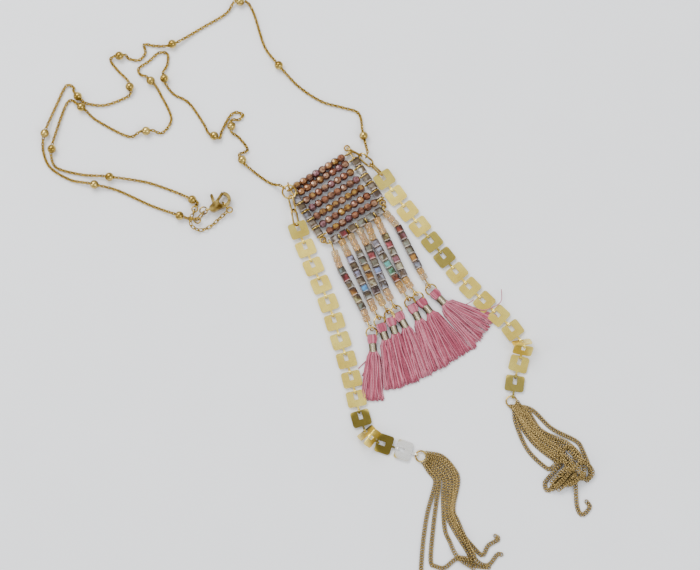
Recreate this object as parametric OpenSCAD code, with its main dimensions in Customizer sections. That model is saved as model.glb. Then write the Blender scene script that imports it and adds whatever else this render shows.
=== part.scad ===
// Long boho necklace laid out flat: a beaded panel with seven strands and thread tassels,
// two plate chains with chain tassels, and a fine neck chain with ball beads and a lobster clasp.
// Millimetres, +Z up, lying on z = 0.

/* [Beaded panel] */
// Beads in one row
row_beads = 8; // [4:1:12]
// Diameter of a faceted bead
bead_d = 2.9; // [2:0.1:3.1]
// Length of a faceted bead along its wire
bead_len = 2.8; // [2:0.1:3.4]
// Gap left between neighbouring beads
bead_gap = 0.2; // [0.1:0.05:0.5]
// Flat rim of a bead round its bore
bead_rim = 0.2; // [0.1:0.05:0.4]
// Free length left on a row's wire
row_slack = 1.3; // [0.6:0.1:3]
// Distance between the two top rows
pair_pitch = 3.1; // [3.1:0.05:4.5]
// Wire that carries a row
row_wire_d = 0.6; // [0.4:0.05:0.8]
// Outer diameter of the eye that ends a row's wire
row_eye_d = 3; // [2.6:0.1:3.4]
// Slope of the rows
panel_slope = 32.5; // [0:0.5:60]

/* [Cube beads] */
// Side of a cube bead
cube_side = 3.1; // [2.4:0.05:3.2]
// Chamfer on the edges of a cube bead
cube_edge = 0.3; // [0.1:0.05:0.5]
// Wire of the side bars and of the bottom bar
bar_wire_d = 0.7; // [0.5:0.05:0.9]
// Room for an eye between two cubes of a side bar
side_gap = 0.85; // [0.8:0.05:1.4]
// Room for an eye between two cubes of the bottom bar
bottom_gap = 1.1; // [0.85:0.05:1.6]
// Outer diameter of the loop that ends a bar's wire
bar_loop_d = 2.8; // [2.6:0.1:3.2]
// Distance from the last row down to the bottom bar
bottom_drop = 4.15; // [4:0.05:8]

/* [Strands] */
// Cube beads on one strand
strand_cubes = 6; // [3:1:8]
// Gap between two cubes of a strand
cube_gap = 0.15; // [0.1:0.05:0.4]
// Length of the short round beads above and below the cubes
short_bead_len = 2.5; // [2:0.1:3.5]
// Short round beads above the cubes
short_above = 3; // [2:1:4]
// Short round beads below the cubes
short_below = 2; // [1:1:3]
// Wire of a strand
strand_wire_d = 0.6; // [0.4:0.05:0.7]
// Outer diameter of a strand's lower eye
strand_eye_d = 2.4; // [2.3:0.1:2.8]
// Wrapped neck above the lower eye
eye_neck = 1.5; // [0.6:0.1:3]
// Outer diameter of a tassel's ring
tassel_ring_d = 5; // [4.6:0.1:6]
// Wire of a tassel's ring
tassel_ring_wire = 0.7; // [0.5:0.05:0.8]

/* [Thread tassels] */
// Diameter of the wound band
band_d = 3.2; // [3:0.1:3.8]
// Length of the wound band
band_len = 3.5; // [2:0.1:5]
// Thickness of the wound band
band_wall = 0.35; // [0.25:0.05:0.5]
// Width of the thread head where it folds round the ring
head_w = 3.8; // [3:0.1:4]
// Length of the thread head from its fold to the band
head_len = 3.8; // [3.4:0.1:5]
// Length of the skirt below the band
skirt_len = 20; // [12:0.5:26]
// Thickness of the skirt where it rests
skirt_h = 2.4; // [1.6:0.1:3]

/* [Corner rings and links] */
// Outer diameter of the round ring at the left corner
corner_ring_d = 6.2; // [5.6:0.1:7]
// Wire of the corner rings and links
link_wire = 0.8; // [0.6:0.05:0.85]
// Length of an oval link
link_len = 7.5; // [6:0.1:9]
// Width of an oval link
link_w = 4; // [3.8:0.1:4.6]

/* [Plate chains] */
// Distance from one plate's joint to the next
plate_pitch = 8; // [7.8:0.1:9]
// Width of a plate
plate_w = 7.6; // [6:0.1:8]
// Height of a plate along the chain
plate_h = 6.4; // [5.4:0.1:6.6]
// Thickness of a plate
plate_t = 0.4; // [0.3:0.05:0.6]
// Corner radius of a plate
plate_r = 1.05; // [0.5:0.05:2]
// Width of a plate's slot
slot_w = 1.6; // [1.5:0.05:2]
// Length of a plate's slot
slot_len = 2.9; // [2.4:0.1:3.4]
// Bridge left above the slot
bridge = 0.7; // [0.5:0.05:0.8]
// Width of the folded tab
tab_w = 0.8; // [0.6:0.05:0.9]
// Thickness of the folded tab
tab_t = 0.3; // [0.25:0.05:0.4]
// Room round a bridge inside the tab folded over it
tab_play = 0.3; // [0.25:0.05:0.4]
// Height of the stretch of the chain that is folded up
fold_rise = 7.3; // [3:0.1:7.4]
// Outer diameter of the end rings
end_ring_d = 4.9; // [4.5:0.1:6]
// Wire of the end rings
end_ring_wire = 0.7; // [0.5:0.05:0.8]

/* [Chain tassels] */
// Width of a thin curb chain
curb_w = 1.6; // [1:0.1:1.8]
// Thickness of a thin curb chain
curb_t = 1; // [0.7:0.05:1.2]
// Diameter of the gathered head on the end ring
gather_d = 3.4; // [3:0.1:4]

/* [Neck chain] */
// Width of the fine cable chain
chain_w = 1.3; // [1:0.05:1.5]
// Diameter of a ball bead
ball_d = 3.6; // [3.2:0.1:4]
// Outer diameter of the loops that end the chain
chain_loop_d = 2.9; // [2.8:0.1:3.2]
// Wire of those loops
chain_loop_wire = 0.6; // [0.4:0.05:0.6]
// Width of the coarser extender chain
extender_w = 1.8; // [1.4:0.1:2]

/* [Clasp] */
// Length of the clasp from its base to the nose of its hook
clasp_len = 10.5; // [9.5:0.5:14]
// Thickness of the clasp's body
clasp_t = 2; // [1.8:0.1:2.4]
// Thickness of the sprung lever
lever_t = 0.9; // [0.7:0.1:1.1]
// Diameter of the lever's pin
pin_d = 0.7; // [0.6:0.05:0.9]
// Outer diameter of the small ring on the clasp's base
small_ring_d = 3.6; // [3.4:0.1:4.4]
// Wire of the small rings at the clasp
small_ring_wire = 0.6; // [0.5:0.05:0.65]
// Outer diameter of the jump ring between the clasp and the chain
jump_ring_d = 5.4; // [5:0.1:6]
// Outer diameter of the ring that the jaw holds
held_ring_d = 4.4; // [4.2:0.1:5]

/* [Clearances] */
// Clearance between linked pieces and round a wire in a bead
clear = 0.12; // [0.1:0.01:0.2]
// Extra bore of a bead over its wire
bore_play = 0.3; // [0.2:0.05:0.5]

/* [Hidden] */
$fn = 48;

// Brings the middle of the whole necklace to the origin
layout = [15, -1.1, 0];
// Top left corner of the beaded panel, where the first row meets the left bar
panel_corner = [-24, 38.77];
// Height of the beads' middle, so that the largest of them rests on the surface
mid_z = max(cube_side, row_eye_d, band_d) / 2;

// Rows and bars
rows = 7;
bead_sides = 10;
facet_tilt = 45;
bead_pitch = bead_len + bead_gap;
bead_bore = row_wire_d + bore_play;
facet_reach = (bead_len / 2 + bead_bore / 2 + bead_rim) * cos(facet_tilt);
row_eye_r = (row_eye_d - row_wire_d) / 2;
panel_w = cube_side + row_beads * bead_pitch + row_slack;
bar_pitch = cube_side + side_gap;
bar_loop_r = (bar_loop_d - bar_wire_d) / 2;
bottom_y = -pair_pitch - (rows - 2) * bar_pitch - bottom_drop;
side_loop_y = bottom_y + 2 * bar_loop_r + bar_wire_d / 2;
// Top loops of the side bars, along the bars past the first row
left_neck = 0.4;
right_neck = 1.1;
left_loop_y = bar_loop_r + left_neck;
right_loop_y = bar_loop_r + right_neck;
// The left one stands upright over the flat eyes, turned square to the ring in it
left_loop_z = 2 * mid_z + link_wire / 2 + clear;
left_loop_turn = 25;
// Share of a row's free length that lies to the left of its beads
row_shift = [0.1, 0.1, 0, 0.35, 0.05, 0.3, 1];
// Lean of the two loops that end the bottom bar
loop_lean = [-74, -86];
// Shift of the strands' eyes to the right on the bottom bar
bottom_shift = 0.35;

// Strands and tassels: slants from straight down, towards +X
TOP = 0;    // short beads above the cubes
CUBES = 1;  // cubes
END = 2;    // short beads below the cubes
HEAD = 3;   // tassel's head
SKIRT = 4;  // tassel's skirt
HEM = 5;    // width of the hem as a share of the skirt's length
BARE = 6;   // bare wire at the top as a share of a short bead
ROLL = 7;   // roll of the tassel's ring about the strand
strand_form = [
    [18.9, 28.6, 19.5,  5,  2, 0.32, 0.9,  0],
    [25.7, 25.0, 23.5, 19,  6, 0.26, 0,    0],
    [26.3, 23.5, 28.5, 18, 11, 0.25, 0,   30],
    [26.3, 22.5, 26.0, 29, 15, 0.34, 0,    0],
    [19.6, 29.0, 31.0, 26, 20, 0.34, 0,    0],
    [24.9, 24.5, 34.0, 38, 28, 0.42, 0,   24],
    [40.2, 26.5, 29.0, 43, 47, 0.69, 0,    0]
];
strand_count = len(strand_form);
strand_pitch = cube_side + bottom_gap;
strand_eye_r = (row_eye_d - strand_wire_d) / 2;
lower_eye_r = (strand_eye_d - strand_wire_d) / 2;
tassel_ring_r = (tassel_ring_d - tassel_ring_wire) / 2;
// Play of a ring in the lower eye
eye_play = lower_eye_r - strand_wire_d / 2 - tassel_ring_wire / 2 - clear;

// Thread head: place along it, width and height as shares of the head's length, width and height
head_form = [[0, 0.36, 0.3], [0.1, 0.78, 0.7], [0.38, 1, 0.98], [0.75, 0.96, 0.94], [1, 0.8, 0.86]];
// Skirt: place along it as a share of its length, share of the way from the neck's width to the
// hem's, width of a lock over the distance between locks, height as a share of the skirt's
skirt_form = [
    [0, 0, 1.7, 0.95], [0.08, 0.3, 1.5, 1], [0.35, 0.5, 1.3, 1], [0.7, 0.78, 1.15, 0.85], [1, 1, 0.75, 0.5]
];
// Length of each lock as a share of the skirt's length
lock_len = [0.93, 1, 0.95, 1.02, 0.97, 1.03, 0.96, 1, 0.92];
lock_sides = 6;
head_sides = 12;
neck_d = band_d - 2 * band_wall - 2 * clear;
band_x = tassel_ring_r - mid_z + head_len + clear;
skirt_x = band_x + band_len + 3 * clear;

// Corner rings and links
corner_ring_r = (corner_ring_d - link_wire) / 2;
link_run = link_len - link_wire;
// Distance between the wires' middles where two links hold each other
link_hold = link_wire + 1.5 * clear;
// Slant, climb and roll of each oval link, from the panel's corner down
left_link_form = [[-76, -14, 58], [-79, -1, -52]];
right_link_form = [[-29, 0, -75], [-39, 0, 46], [-46, 0, -64]];
// Lift of the right links, which rest on their rolled edges
right_link_lift = 0.36;

// Plates
tab_bore = bridge + 2 * tab_play;
tab_r = tab_bore / 2 + tab_t;
end_ring_r = (end_ring_d - end_ring_wire) / 2;
// Slant of each plate in plan and its roll about its own length
left_form = [
    [-69, 0], [-68, 0], [-67, 0], [-68, 0], [-70, 0], [-73, 0], [-72, 0], [-75, 0],
    [-76, 0], [-78, 0], [-74, 2], [-57, 5], [-25, 14], [-18, 6], [-18, 0]
];
right_form = [
    [-55.5, 0], [-54.5, 0], [-52, 0], [-53, 0], [-52, 0], [-52, 0], [-51, 0], [-46, 0],
    [-45, 0], [-43, 0], [-54, -1], [-76, -5], [-106, -6], [-105, -6], [-98, 0]
];
plate_count = len(left_form);
// Joint that the fold lifts, and the lift of its neighbours, whose plates are rolled
fold_joint = 12;
roll_lift = 0.08;

// Clasp, in its own frame: x from its base to its nose, the lever on the +y side
clasp_at = [-56.3, 29.6];
clasp_turn = 42;
clasp_z = held_ring_d / 2 - 0.1;
bulb_x = 0.183 * clasp_len;
bulb_r = 0.158 * clasp_len;
claw_x = 0.683 * clasp_len;
claw_r = 0.3 * clasp_len;
claw_hole = 0.175 * clasp_len;
pivot = [0.3 * clasp_len, 0.075 * clasp_len];
hook_tip = [0.86 * clasp_len, 0.217 * clasp_len];
gate_w = 0.11 * clasp_len;
hub_wall = 0.7;
hub_r = pin_d / 2 + hub_wall;
thumb_reach = 0.38 * clasp_len;
thumb_w = 0.12 * clasp_len;
thumb_turn = 65;
// Angle by which the lever opens, with the play that its slot leaves
lever_open = 18;
spine_turn = -109.5;
lug_wire = 0.6;
lug_r = 0.85;
lug_turn = 151;
small_ring_r = (small_ring_d - small_ring_wire) / 2;
jump_ring_r = (jump_ring_d - small_ring_wire) / 2;
held_ring_r = (held_ring_d - small_ring_wire) / 2;
chain_loop_r = (chain_loop_d - chain_loop_wire) / 2;
// Share of the clasp's length at which the ring sits in the jaw
held_share = 0.6;

// Routes of the fine chain, [x, y, 1 where a ball bead sits]
outer_route = [
    [5.5, 61, 1], [3.5, 70.5, 0], [-3, 73, 0], [-11.5, 75.5, 0], [-20.5, 81.5, 0], [-29, 90.5, 1],
    [-35, 99, 0], [-39.5, 113, 0], [-45, 117.5, 1], [-51, 112.5, 0], [-61.5, 106, 0], [-72.5, 99.5, 1],
    [-80, 99, 0], [-84, 99.5, 0], [-83.5, 96, 0], [-86, 93, 0], [-90, 93.5, 0], [-94, 94.5, 1],
    [-97.5, 92.5, 0], [-94.5, 88.5, 0], [-89.5, 81.5, 1], [-91.5, 77, 0], [-99.5, 74, 0], [-106, 74.5, 0],
    [-110.5, 77.5, 1], [-112.5, 81.5, 0], [-115.5, 82, 0], [-119, 74.5, 0], [-123.5, 62, 1],
    [-124, 54.5, 0], [-121, 48, 0], [-113, 43, 0], [-103, 40.8, 1], [-93.5, 38.5, 0], [-80.5, 32.5, 0],
    [-68.5, 28, 1], [-64.5, 27, 0]
];
inner_route = [
    [-33, 42, 0], [-43.5, 51, 1], [-41.5, 55.5, 0], [-45, 60.5, 0], [-48, 65, 1], [-45, 68, 0],
    [-43.5, 70, 0], [-46.5, 71, 0], [-49, 69, 0], [-52, 63, 0], [-55, 61, 1], [-59.5, 66.5, 0],
    [-65.5, 75, 0], [-71.5, 78.5, 0], [-75.5, 85, 1], [-74.5, 91, 0], [-74.5, 95.5, 0], [-78, 96, 0],
    [-82, 92.5, 0], [-86, 89.5, 0], [-85.5, 87, 0], [-81, 84, 1], [-77, 78.5, 0], [-72.5, 68.5, 0],
    [-76, 62.5, 0], [-82.5, 63, 1], [-90, 61, 0], [-102.5, 67.5, 0], [-109, 73, 1], [-113.5, 76, 0],
    [-116, 72.5, 0], [-120.5, 55.5, 1], [-118.5, 48, 0], [-109, 45.2, 0], [-97, 44, 1], [-82.5, 42, 0],
    [-72, 38.5, 0], [-63.5, 34.6, 1], [-61.4, 33.2, 0]
];
// Route of the extender, which crosses over the fine chain
extender_route = [[-64, 26.9, 2.7], [-63.4, 23.6, 2.4], [-60, 22.2, 1.1], [-56, 23.8, 0.9], [-53, 26.4, 1]];

// Routes of the chain tassels, [x, y, how many chains lie below]
left_fringe = [
    [[31, -74.5, 0], [33.5, -78, 0], [32.5, -83, 0], [30.5, -90, 0], [29, -98.5, 0], [28, -108, 0],
        [27.5, -117, 0]],
    [[32, -74, 0], [35, -78, 0], [34, -85.5, 0], [32.5, -97, 0], [31.5, -109.5, 0], [33.5, -111.5, 0],
        [37, -112, 0], [42, -108.5, 0], [48.5, -110, 1]],
    [[33.5, -73, 0], [37, -78, 0], [36.5, -84.5, 0], [37, -96.5, 0], [39, -102, 0], [42, -108, 1],
        [48.5, -112.5, 0]],
    [[34.5, -72, 0], [38.5, -78, 0], [38, -90.5, 0], [40.5, -97, 0], [46, -106, 0], [48.5, -111, 0],
        [54.5, -112, 0]],
    [[36, -71.5, 0], [40, -78, 0], [39.5, -90.5, 0], [42, -96.5, 0], [49.5, -105.5, 0], [52, -107, 0],
        [54, -103.5, 0], [58, -101, 0], [56.5, -99.5, 0]],
    [[37.5, -70.5, 0], [41.5, -77.5, 0], [40, -90.5, 0], [44, -99.5, 0], [48.5, -108, 1], [45, -108.5, 2],
        [42, -108, 2]],
    [[36, -68.5, 0], [40.5, -73, 0], [42.5, -78, 0], [40.5, -89, 0], [42.5, -94.5, 0], [47, -105.5, 2],
        [50, -110, 1], [54, -111, 0], [57.5, -107, 0], [59.5, -107, 0]]
];
right_fringe = [
    [[71.5, -50, 0], [79.5, -57.5, 0], [89, -62.5, 0], [91.5, -66, 0], [94.5, -74.5, 0], [93, -78.5, 0]],
    [[70, -52, 0], [72.5, -56, 0], [81, -62, 0], [86, -64, 1], [91.5, -71, 1], [91.5, -77, 1]],
    [[69, -54.5, 0], [72, -58, 0], [82.5, -66, 0], [85.5, -65, 2], [88.5, -67.5, 2], [86, -77, 1],
        [83.5, -80, 0]],
    [[68, -54.5, 0], [73.5, -63, 0], [81, -69, 0], [84, -68.5, 1], [88, -76.5, 1], [89, -88, 0],
        [91, -91.5, 0], [94, -88.5, 0], [92.5, -86, 0]],
    [[65.5, -55.5, 0], [70, -66, 0], [77, -73, 0], [79.5, -73, 0], [82.5, -70.5, 2], [88, -73.5, 2],
        [87.5, -78, 2]],
    [[67, -55.5, 0], [73, -64, 0], [80.5, -70, 0], [83, -71.5, 1], [78, -77, 0], [76.5, -79.5, 0],
        [78, -82, 0], [83.5, -76.5, 2]],
    [[70, -50.5, 0], [75.5, -58.5, 0], [85, -63, 1], [90.5, -69, 2], [89.5, -74.5, 3], [91.5, -76, 3]],
    [[67.5, -54, 0], [73, -62, 0], [80, -67.5, 0], [83, -68.5, 1], [85, -73, 3], [82.5, -76.5, 3],
        [86, -79.5, 1]]
];
fringe_step = curb_t + clear / 2;
fringe_lift = 0.03;
chain_sides = 8;
wire_sides = 10;
curb_sides = 6;

// Directions and points
function unit(v) = v / norm(v);
function heading(a) = [cos(a), sin(a), 0];
function down(a) = [sin(a), -cos(a), 0];
function climb(a, tilt) = [cos(tilt) * cos(a), cos(tilt) * sin(a), sin(tilt)];
function at_height(p, z) = [p[0], p[1], z];
function turned(p, a) = [p[0] * cos(a) - p[1] * sin(a), p[0] * sin(a) + p[1] * cos(a)];
function in_panel(p, z) = at_height(panel_corner + turned([p[0], p[1]], panel_slope), z);

// Height of a row below the first one, and place of a strand on the bottom bar
function row_y(i) = i == 0 ? 0 : -pair_pitch - (i - 1) * bar_pitch;
function bead_x(i, j) = cube_side / 2 + row_shift[i] * row_slack + (j + 0.5) * bead_pitch;
function strand_x(i) = panel_w / 2 + bottom_shift + (i - (strand_count - 1) / 2) * strand_pitch;

// Points down one strand
function strand_start(i) = in_panel([strand_x(i), bottom_y - strand_eye_r], mid_z);
function cubes_start(i) = strand_start(i)
    + (clear + (short_above + strand_form[i][BARE]) * short_bead_len) * down(strand_form[i][TOP]);
function cubes_end(i) = cubes_start(i) + strand_cubes * (cube_side + cube_gap) * down(strand_form[i][CUBES]);
function wire_end(i) = cubes_end(i) + (short_below * short_bead_len + eye_neck) * down(strand_form[i][END]);
function lower_eye(i) = wire_end(i) + lower_eye_r * down(strand_form[i][END]);
function ring_centre(i) = lower_eye(i) + (tassel_ring_r + eye_play) * down(strand_form[i][END]);

// Corner links, [near end, slant, climb, roll]
function link_far(link) = link[0] + link_run * climb(link[1], link[2]);
function link_next(link, form) = concat([link_far(link) - link_hold * climb(link[1], link[2])], form);
left_ring_centre = in_panel(
    [0, left_loop_y] - corner_ring_r * [sin(left_loop_turn), cos(left_loop_turn)], left_loop_z);
left_link_1 = concat(
    [left_ring_centre + (corner_ring_r - link_hold - clear) * heading(left_link_form[0][0])],
    left_link_form[0]
);
left_link_2 = link_next(left_link_1, left_link_form[1]);
right_loop = in_panel([panel_w, right_loop_y], mid_z);
right_link_hold = bar_loop_r - bar_wire_d / 2 - link_wire / 2 - 2 * clear;
right_link_1 = concat(
    [right_loop + right_link_hold * heading(right_link_form[0][0]) + [0, 0, right_link_lift]],
    right_link_form[0]
);
right_link_2 = link_next(right_link_1, right_link_form[1]);
right_link_3 = link_next(right_link_2, right_link_form[2]);

// Plates: the first bridge hangs in the last link's end
bridge_hold = bridge / 2 + 2 * clear + link_wire / 2;
function first_bridge(link) = link_far(link) - bridge_hold * climb(link[1], link[2]);
function joint_z(i, first) = i == 0 ? first
    : i == fold_joint ? tab_r + fold_rise
    : tab_r + (abs(i - fold_joint) <= 2 ? roll_lift : 0);
function joint_rise(i, first) = joint_z(i + 1, first) - joint_z(i, first);
function joint_run(i, first) = sqrt(pow(plate_pitch, 2) - pow(joint_rise(i, first), 2));
function joint(form, i, first) = i == 0 ? first
    : at_height(joint(form, i - 1, first) + joint_run(i - 1, first[2]) * heading(form[i - 1][0]),
        joint_z(i, first[2]));
left_first = first_bridge(left_link_2);
right_first = first_bridge(right_link_3);
left_end = joint(left_form, plate_count, left_first);
right_end = joint(right_form, plate_count, right_first);
left_ring_slant = -21;
right_ring_slant = -108;
left_gather_slant = -40;
right_gather_slant = -50;
left_end_centre = left_end + end_ring_r * heading(left_ring_slant);
right_end_centre = right_end + end_ring_r * heading(right_ring_slant);
left_gather = at_height(left_end_centre + end_ring_r * heading(left_gather_slant), gather_d / 2);
right_gather = at_height(right_end_centre + end_ring_r * heading(right_gather_slant), gather_d / 2);

// Points of the clasp in the common frame
function from_clasp(x, y) = at_height(clasp_at + turned([x, y], clasp_turn), clasp_z);
bulb_at = from_clasp(bulb_x, 0);
lug_out = bulb_r + lug_r - lug_wire / 6;
lug_at = bulb_at + lug_out * heading(clasp_turn + lug_turn);
lug_play = lug_r - lug_wire / 2 - small_ring_wire / 2 - clear;
small_ring_at = lug_at + (lug_play + small_ring_r) * heading(clasp_turn + lug_turn);
jump_slant = 230;
jump_side = -60;
jump_chord = sqrt(pow(jump_ring_r, 2) - pow(jump_ring_d / 2 - clasp_z, 2));
jump_start = at_height(small_ring_at, jump_ring_d / 2)
    + (small_ring_r - small_ring_wire - 2 * clear) * heading(jump_side);
jump_at = jump_start + jump_chord * heading(jump_slant);
held_at = at_height(from_clasp(held_share * clasp_len, -(claw_r + claw_hole) / 2), held_ring_d / 2);

// Loops that end the chains, each round the wire that it holds
loop_play = chain_loop_r - chain_loop_wire / 2 - clear;
left_loop_slant = 142;
left_loop_dip = -30;
left_loop_at = left_ring_centre + (corner_ring_r + loop_play - link_wire / 2) * heading(left_loop_slant);
right_hold_share = 0.4;
right_hold = right_link_2[0] + right_hold_share * link_run * climb(right_link_2[1], right_link_2[2])
    + (link_w - link_wire) / 2
    * (cos(right_link_2[3]) * heading(right_link_2[1] + 90) + sin(right_link_2[3]) * [0, 0, 1]);
right_loop_slant = 70;
right_loop_at = right_hold + (loop_play - link_wire / 2) * heading(right_loop_slant);
base_loop_z = 1.2;
base_chord = sqrt(pow(jump_ring_r, 2) - pow(jump_ring_d / 2 - base_loop_z, 2));
base_loop_at = at_height(jump_at + (base_chord + clear) * heading(jump_slant), base_loop_z);
inner_loop_at = [-62.4, 30.7, 1.6];
inner_end_slant = 75;
outer_end_slant = 150;
extender_slant = -105;
extender_end_slant = -145;
extender_lift = 0.2;
extender_loop_at = inner_loop_at
    + (chain_loop_r + clear) * heading(extender_slant) + [0, 0, extender_lift];
held_slant = clasp_turn - 90;
jaw_loop_at = held_at + (held_ring_r + loop_play - small_ring_wire / 2) * heading(held_slant);

// Path of a fine chain: a ball bead lifts it and it runs straight through the bead
function ball_way(route, i) =
    let (before = route[max(i - 1, 0)], after = route[min(i + 1, len(route) - 1)])
    unit([after[0] - before[0], after[1] - before[1], 0]);
ball_run = 0.5;
ball_reach = ball_d / 2 + ball_run;
function chain_path(route) = [
    for (i = [0 : len(route) - 1])
        each (route[i][2] == 1
            ? [at_height(route[i], ball_d / 2) - ball_reach * ball_way(route, i),
                at_height(route[i], ball_d / 2) + ball_reach * ball_way(route, i)]
            : [at_height(route[i], chain_w / 2)])
];
// Path of a fringe chain, out of the gathered head and along the surface, each chain a hair higher
function fringe_path(gather, route, k) = concat(
    [gather + gather_d / 3 * unit(at_height(route[0], gather[2]) - gather)],
    [for (p = route) at_height(p, curb_t / 2 + p[2] * fringe_step + k * fringe_lift)]
);

// Ring of points round a path's point i, with half sizes a across and b up
function way(path, i) = unit(
    (i < len(path) - 1 ? unit(path[i + 1] - path[i]) : [0, 0, 0])
    + (i > 0 ? unit(path[i] - path[i - 1]) : [0, 0, 0]));
function round_ring(path, i, a, b, n) =
    let (t = way(path, i), side = unit(cross([0, 0, 1], t)), up = cross(t, side))
    [for (k = [0 : n - 1]) path[i] + a * cos(360 * k / n) * side + b * sin(360 * k / n) * up];
// Ring of points across the x axis, centred at [x, y, z]
function cross_ring(x, y, z, a, b, n) =
    [for (k = [0 : n - 1]) [x, y + a * cos(360 * k / n), z + b * sin(360 * k / n)]];

// Closed skin over rings with the same number of points
module skin(rings) {
    n = len(rings[0]);
    last = (len(rings) - 1) * n;
    sides = [
        for (i = [0 : len(rings) - 2], k = [0 : n - 1])
            let (a = i * n + k, b = i * n + (k + 1) % n)
            each [[a, a + n, b + n], [a, b + n, b]]
    ];
    start = [for (k = [1 : n - 2]) [0, k, k + 1]];
    end = [for (k = [1 : n - 2]) [last, last + k + 1, last + k]];
    polyhedron([for (r = rings) each r], concat(start, sides, end));
}

// Tube of width w and height h swept along a path
module swept(path, w, h, n) {
    skin([for (i = [0 : len(path) - 1]) round_ring(path, i, w / 2, h / 2, n)]);
}

// Round wire ring of mean radius r, lying in the plane z = 0
module wire_ring(r, wire) {
    rotate_extrude() translate([r, 0]) circle(d = wire, $fn = 24);
}

// Straight wire from a to b
module rod(a, b, wire) {
    v = b - a;
    translate(a)
        rotate([0, acos(v[2] / norm(v)), atan2(v[1], v[0])])
        cylinder(h = norm(v), d = wire, $fn = 24);
}

// Oval link of wire with its near end at the origin, along +x in the plane z = 0
module oval_link() {
    r = (link_w - link_wire) / 2;
    run = link_run - 2 * r;
    for (end = [0, 1])
        translate([r + end * run, 0, 0])
        rotate(90 - end * 180)
        rotate_extrude(angle = 180)
        translate([r, 0])
        circle(d = link_wire, $fn = 24);
    for (side = [-1, 1])
        translate([r, side * r, 0])
        rotate([0, 90, 0])
        cylinder(h = run, d = link_wire, $fn = 24);
}

module placed_link(link) {
    translate(link[0]) rotate([0, -link[2], link[1]]) rotate([link[3], 0, 0]) oval_link();
}

module in_layout() {
    translate(layout) children();
}

module on_panel() {
    in_layout() translate([panel_corner[0], panel_corner[1], mid_z]) rotate(panel_slope) children();
}

// Faceted bead along x: a belt of flats, slanted facets on both sides, flat ends and a bore
module faceted_bead() {
    block = 3 * bead_len;
    difference() {
        intersection_for (k = [0 : bead_sides])
            if (k == 0)
                rotate([0, 90, 0]) cylinder(h = bead_len, d = bead_d, $fn = bead_sides, center = true);
            else
                rotate([k * 360 / bead_sides, 0, 0])
                rotate([0, 0, facet_tilt])
                cube([2 * facet_reach, block, block], center = true);
        rotate([0, 90, 0]) cylinder(h = block, d = bead_bore, $fn = 24, center = true);
    }
}

module bead_row(i) {
    color("rosybrown")
        on_panel()
        for (j = [0 : row_beads - 1])
            translate([bead_x(i, j), row_y(i), 0]) faceted_bead();
}

// Cube with chamfered edges and a bore along x
module cube_bead(bore) {
    half = cube_side / 2;
    cut = half - cube_edge;
    outline = [
        [half, -cut], [half, cut], [cut, half], [-cut, half],
        [-half, cut], [-half, -cut], [-cut, -half], [cut, -half]
    ];
    difference() {
        intersection() {
            linear_extrude(height = cube_side, center = true) polygon(outline);
            rotate([90, 0, 0]) linear_extrude(height = cube_side, center = true) polygon(outline);
            rotate([0, 90, 0]) linear_extrude(height = cube_side, center = true) polygon(outline);
        }
        rotate([0, 90, 0]) cylinder(h = 2 * cube_side, d = bore, $fn = 24, center = true);
    }
}

module cube_row(bore, count, pitch) {
    for (k = [0 : count - 1]) translate([(k + 0.5) * pitch, 0, 0]) cube_bead(bore);
}

// Wires of the rows, each with an eye round both side bars
module row_wires() {
    color("goldenrod")
        on_panel()
        for (i = [0 : rows - 1])
            translate([0, row_y(i), 0]) {
                for (x = [0, panel_w])
                    translate([x, 0, 0]) rotate([90, 0, 0]) wire_ring(row_eye_r, row_wire_d);
                rod([row_eye_r, 0, 0], [panel_w - row_eye_r, 0, 0], row_wire_d);
            }
}

// Five cubes between the rows' eyes on a side bar
module side_cubes(x) {
    on_panel()
        for (i = [1 : rows - 2])
            translate([x, (row_y(i) + row_y(i + 1)) / 2, 0]) rotate(90) cube_bead(bar_wire_d + bore_play);
}

module left_bar_cubes() {
    color("silver") side_cubes(0);
}

module right_bar_cubes() {
    color("silver") side_cubes(panel_w);
}

module bottom_bar_cubes() {
    color("rosybrown")
        on_panel()
        for (i = [0 : strand_count - 2])
            translate([(strand_x(i) + strand_x(i + 1)) / 2, bottom_y, 0]) cube_bead(bar_wire_d + bore_play);
}

// The two side bars and the bottom bar, linked by their loops
module bar_wires() {
    color("goldenrod")
        on_panel() {
            lift = left_loop_z - mid_z;
            rod([0, side_loop_y + bar_loop_r, 0], [0, left_loop_y, 0], bar_wire_d);
            rod([0, left_loop_y, -bar_wire_d / 2], [0, left_loop_y, lift - bar_loop_r], bar_wire_d + clear);
            translate([0, left_loop_y, lift])
                rotate([90, 0, 90 - left_loop_turn])
                wire_ring(bar_loop_r, bar_wire_d);
            translate([0, side_loop_y, 0]) wire_ring(bar_loop_r, bar_wire_d);
            rod([panel_w, side_loop_y + bar_loop_r, 0], [panel_w, right_loop_y - bar_loop_r, 0], bar_wire_d);
            for (y = [side_loop_y, right_loop_y])
                translate([panel_w, y, 0]) wire_ring(bar_loop_r, bar_wire_d);
            bottom_bar_wire();
        }
}

module bottom_bar_wire() {
    hook = bar_loop_r + clear;
    ends = [for (k = [0, 1]) [k * panel_w, side_loop_y, 0] + hook * heading(loop_lean[k])];
    feet = [for (k = [0, 1]) ends[k] + bar_loop_r * heading(loop_lean[k])];
    rest = strand_wire_d;
    way = [
        feet[0],
        [strand_x(0) - rest, bottom_y, 0],
        [strand_x(strand_count - 1) + rest, bottom_y, 0],
        feet[1]
    ];
    swept(way, bar_wire_d, bar_wire_d, wire_sides);
    for (k = [0, 1])
        translate(ends[k]) rotate([90, 0, loop_lean[k]]) wire_ring(bar_loop_r, bar_wire_d);
}

// Cubes of one strand
module cubes_of_strand(i) {
    color("lightsteelblue")
        in_layout()
        translate(cubes_start(i))
        rotate(strand_form[i][CUBES] - 90)
        cube_row(strand_wire_d + bore_play, strand_cubes, cube_side + cube_gap);
}

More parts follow.
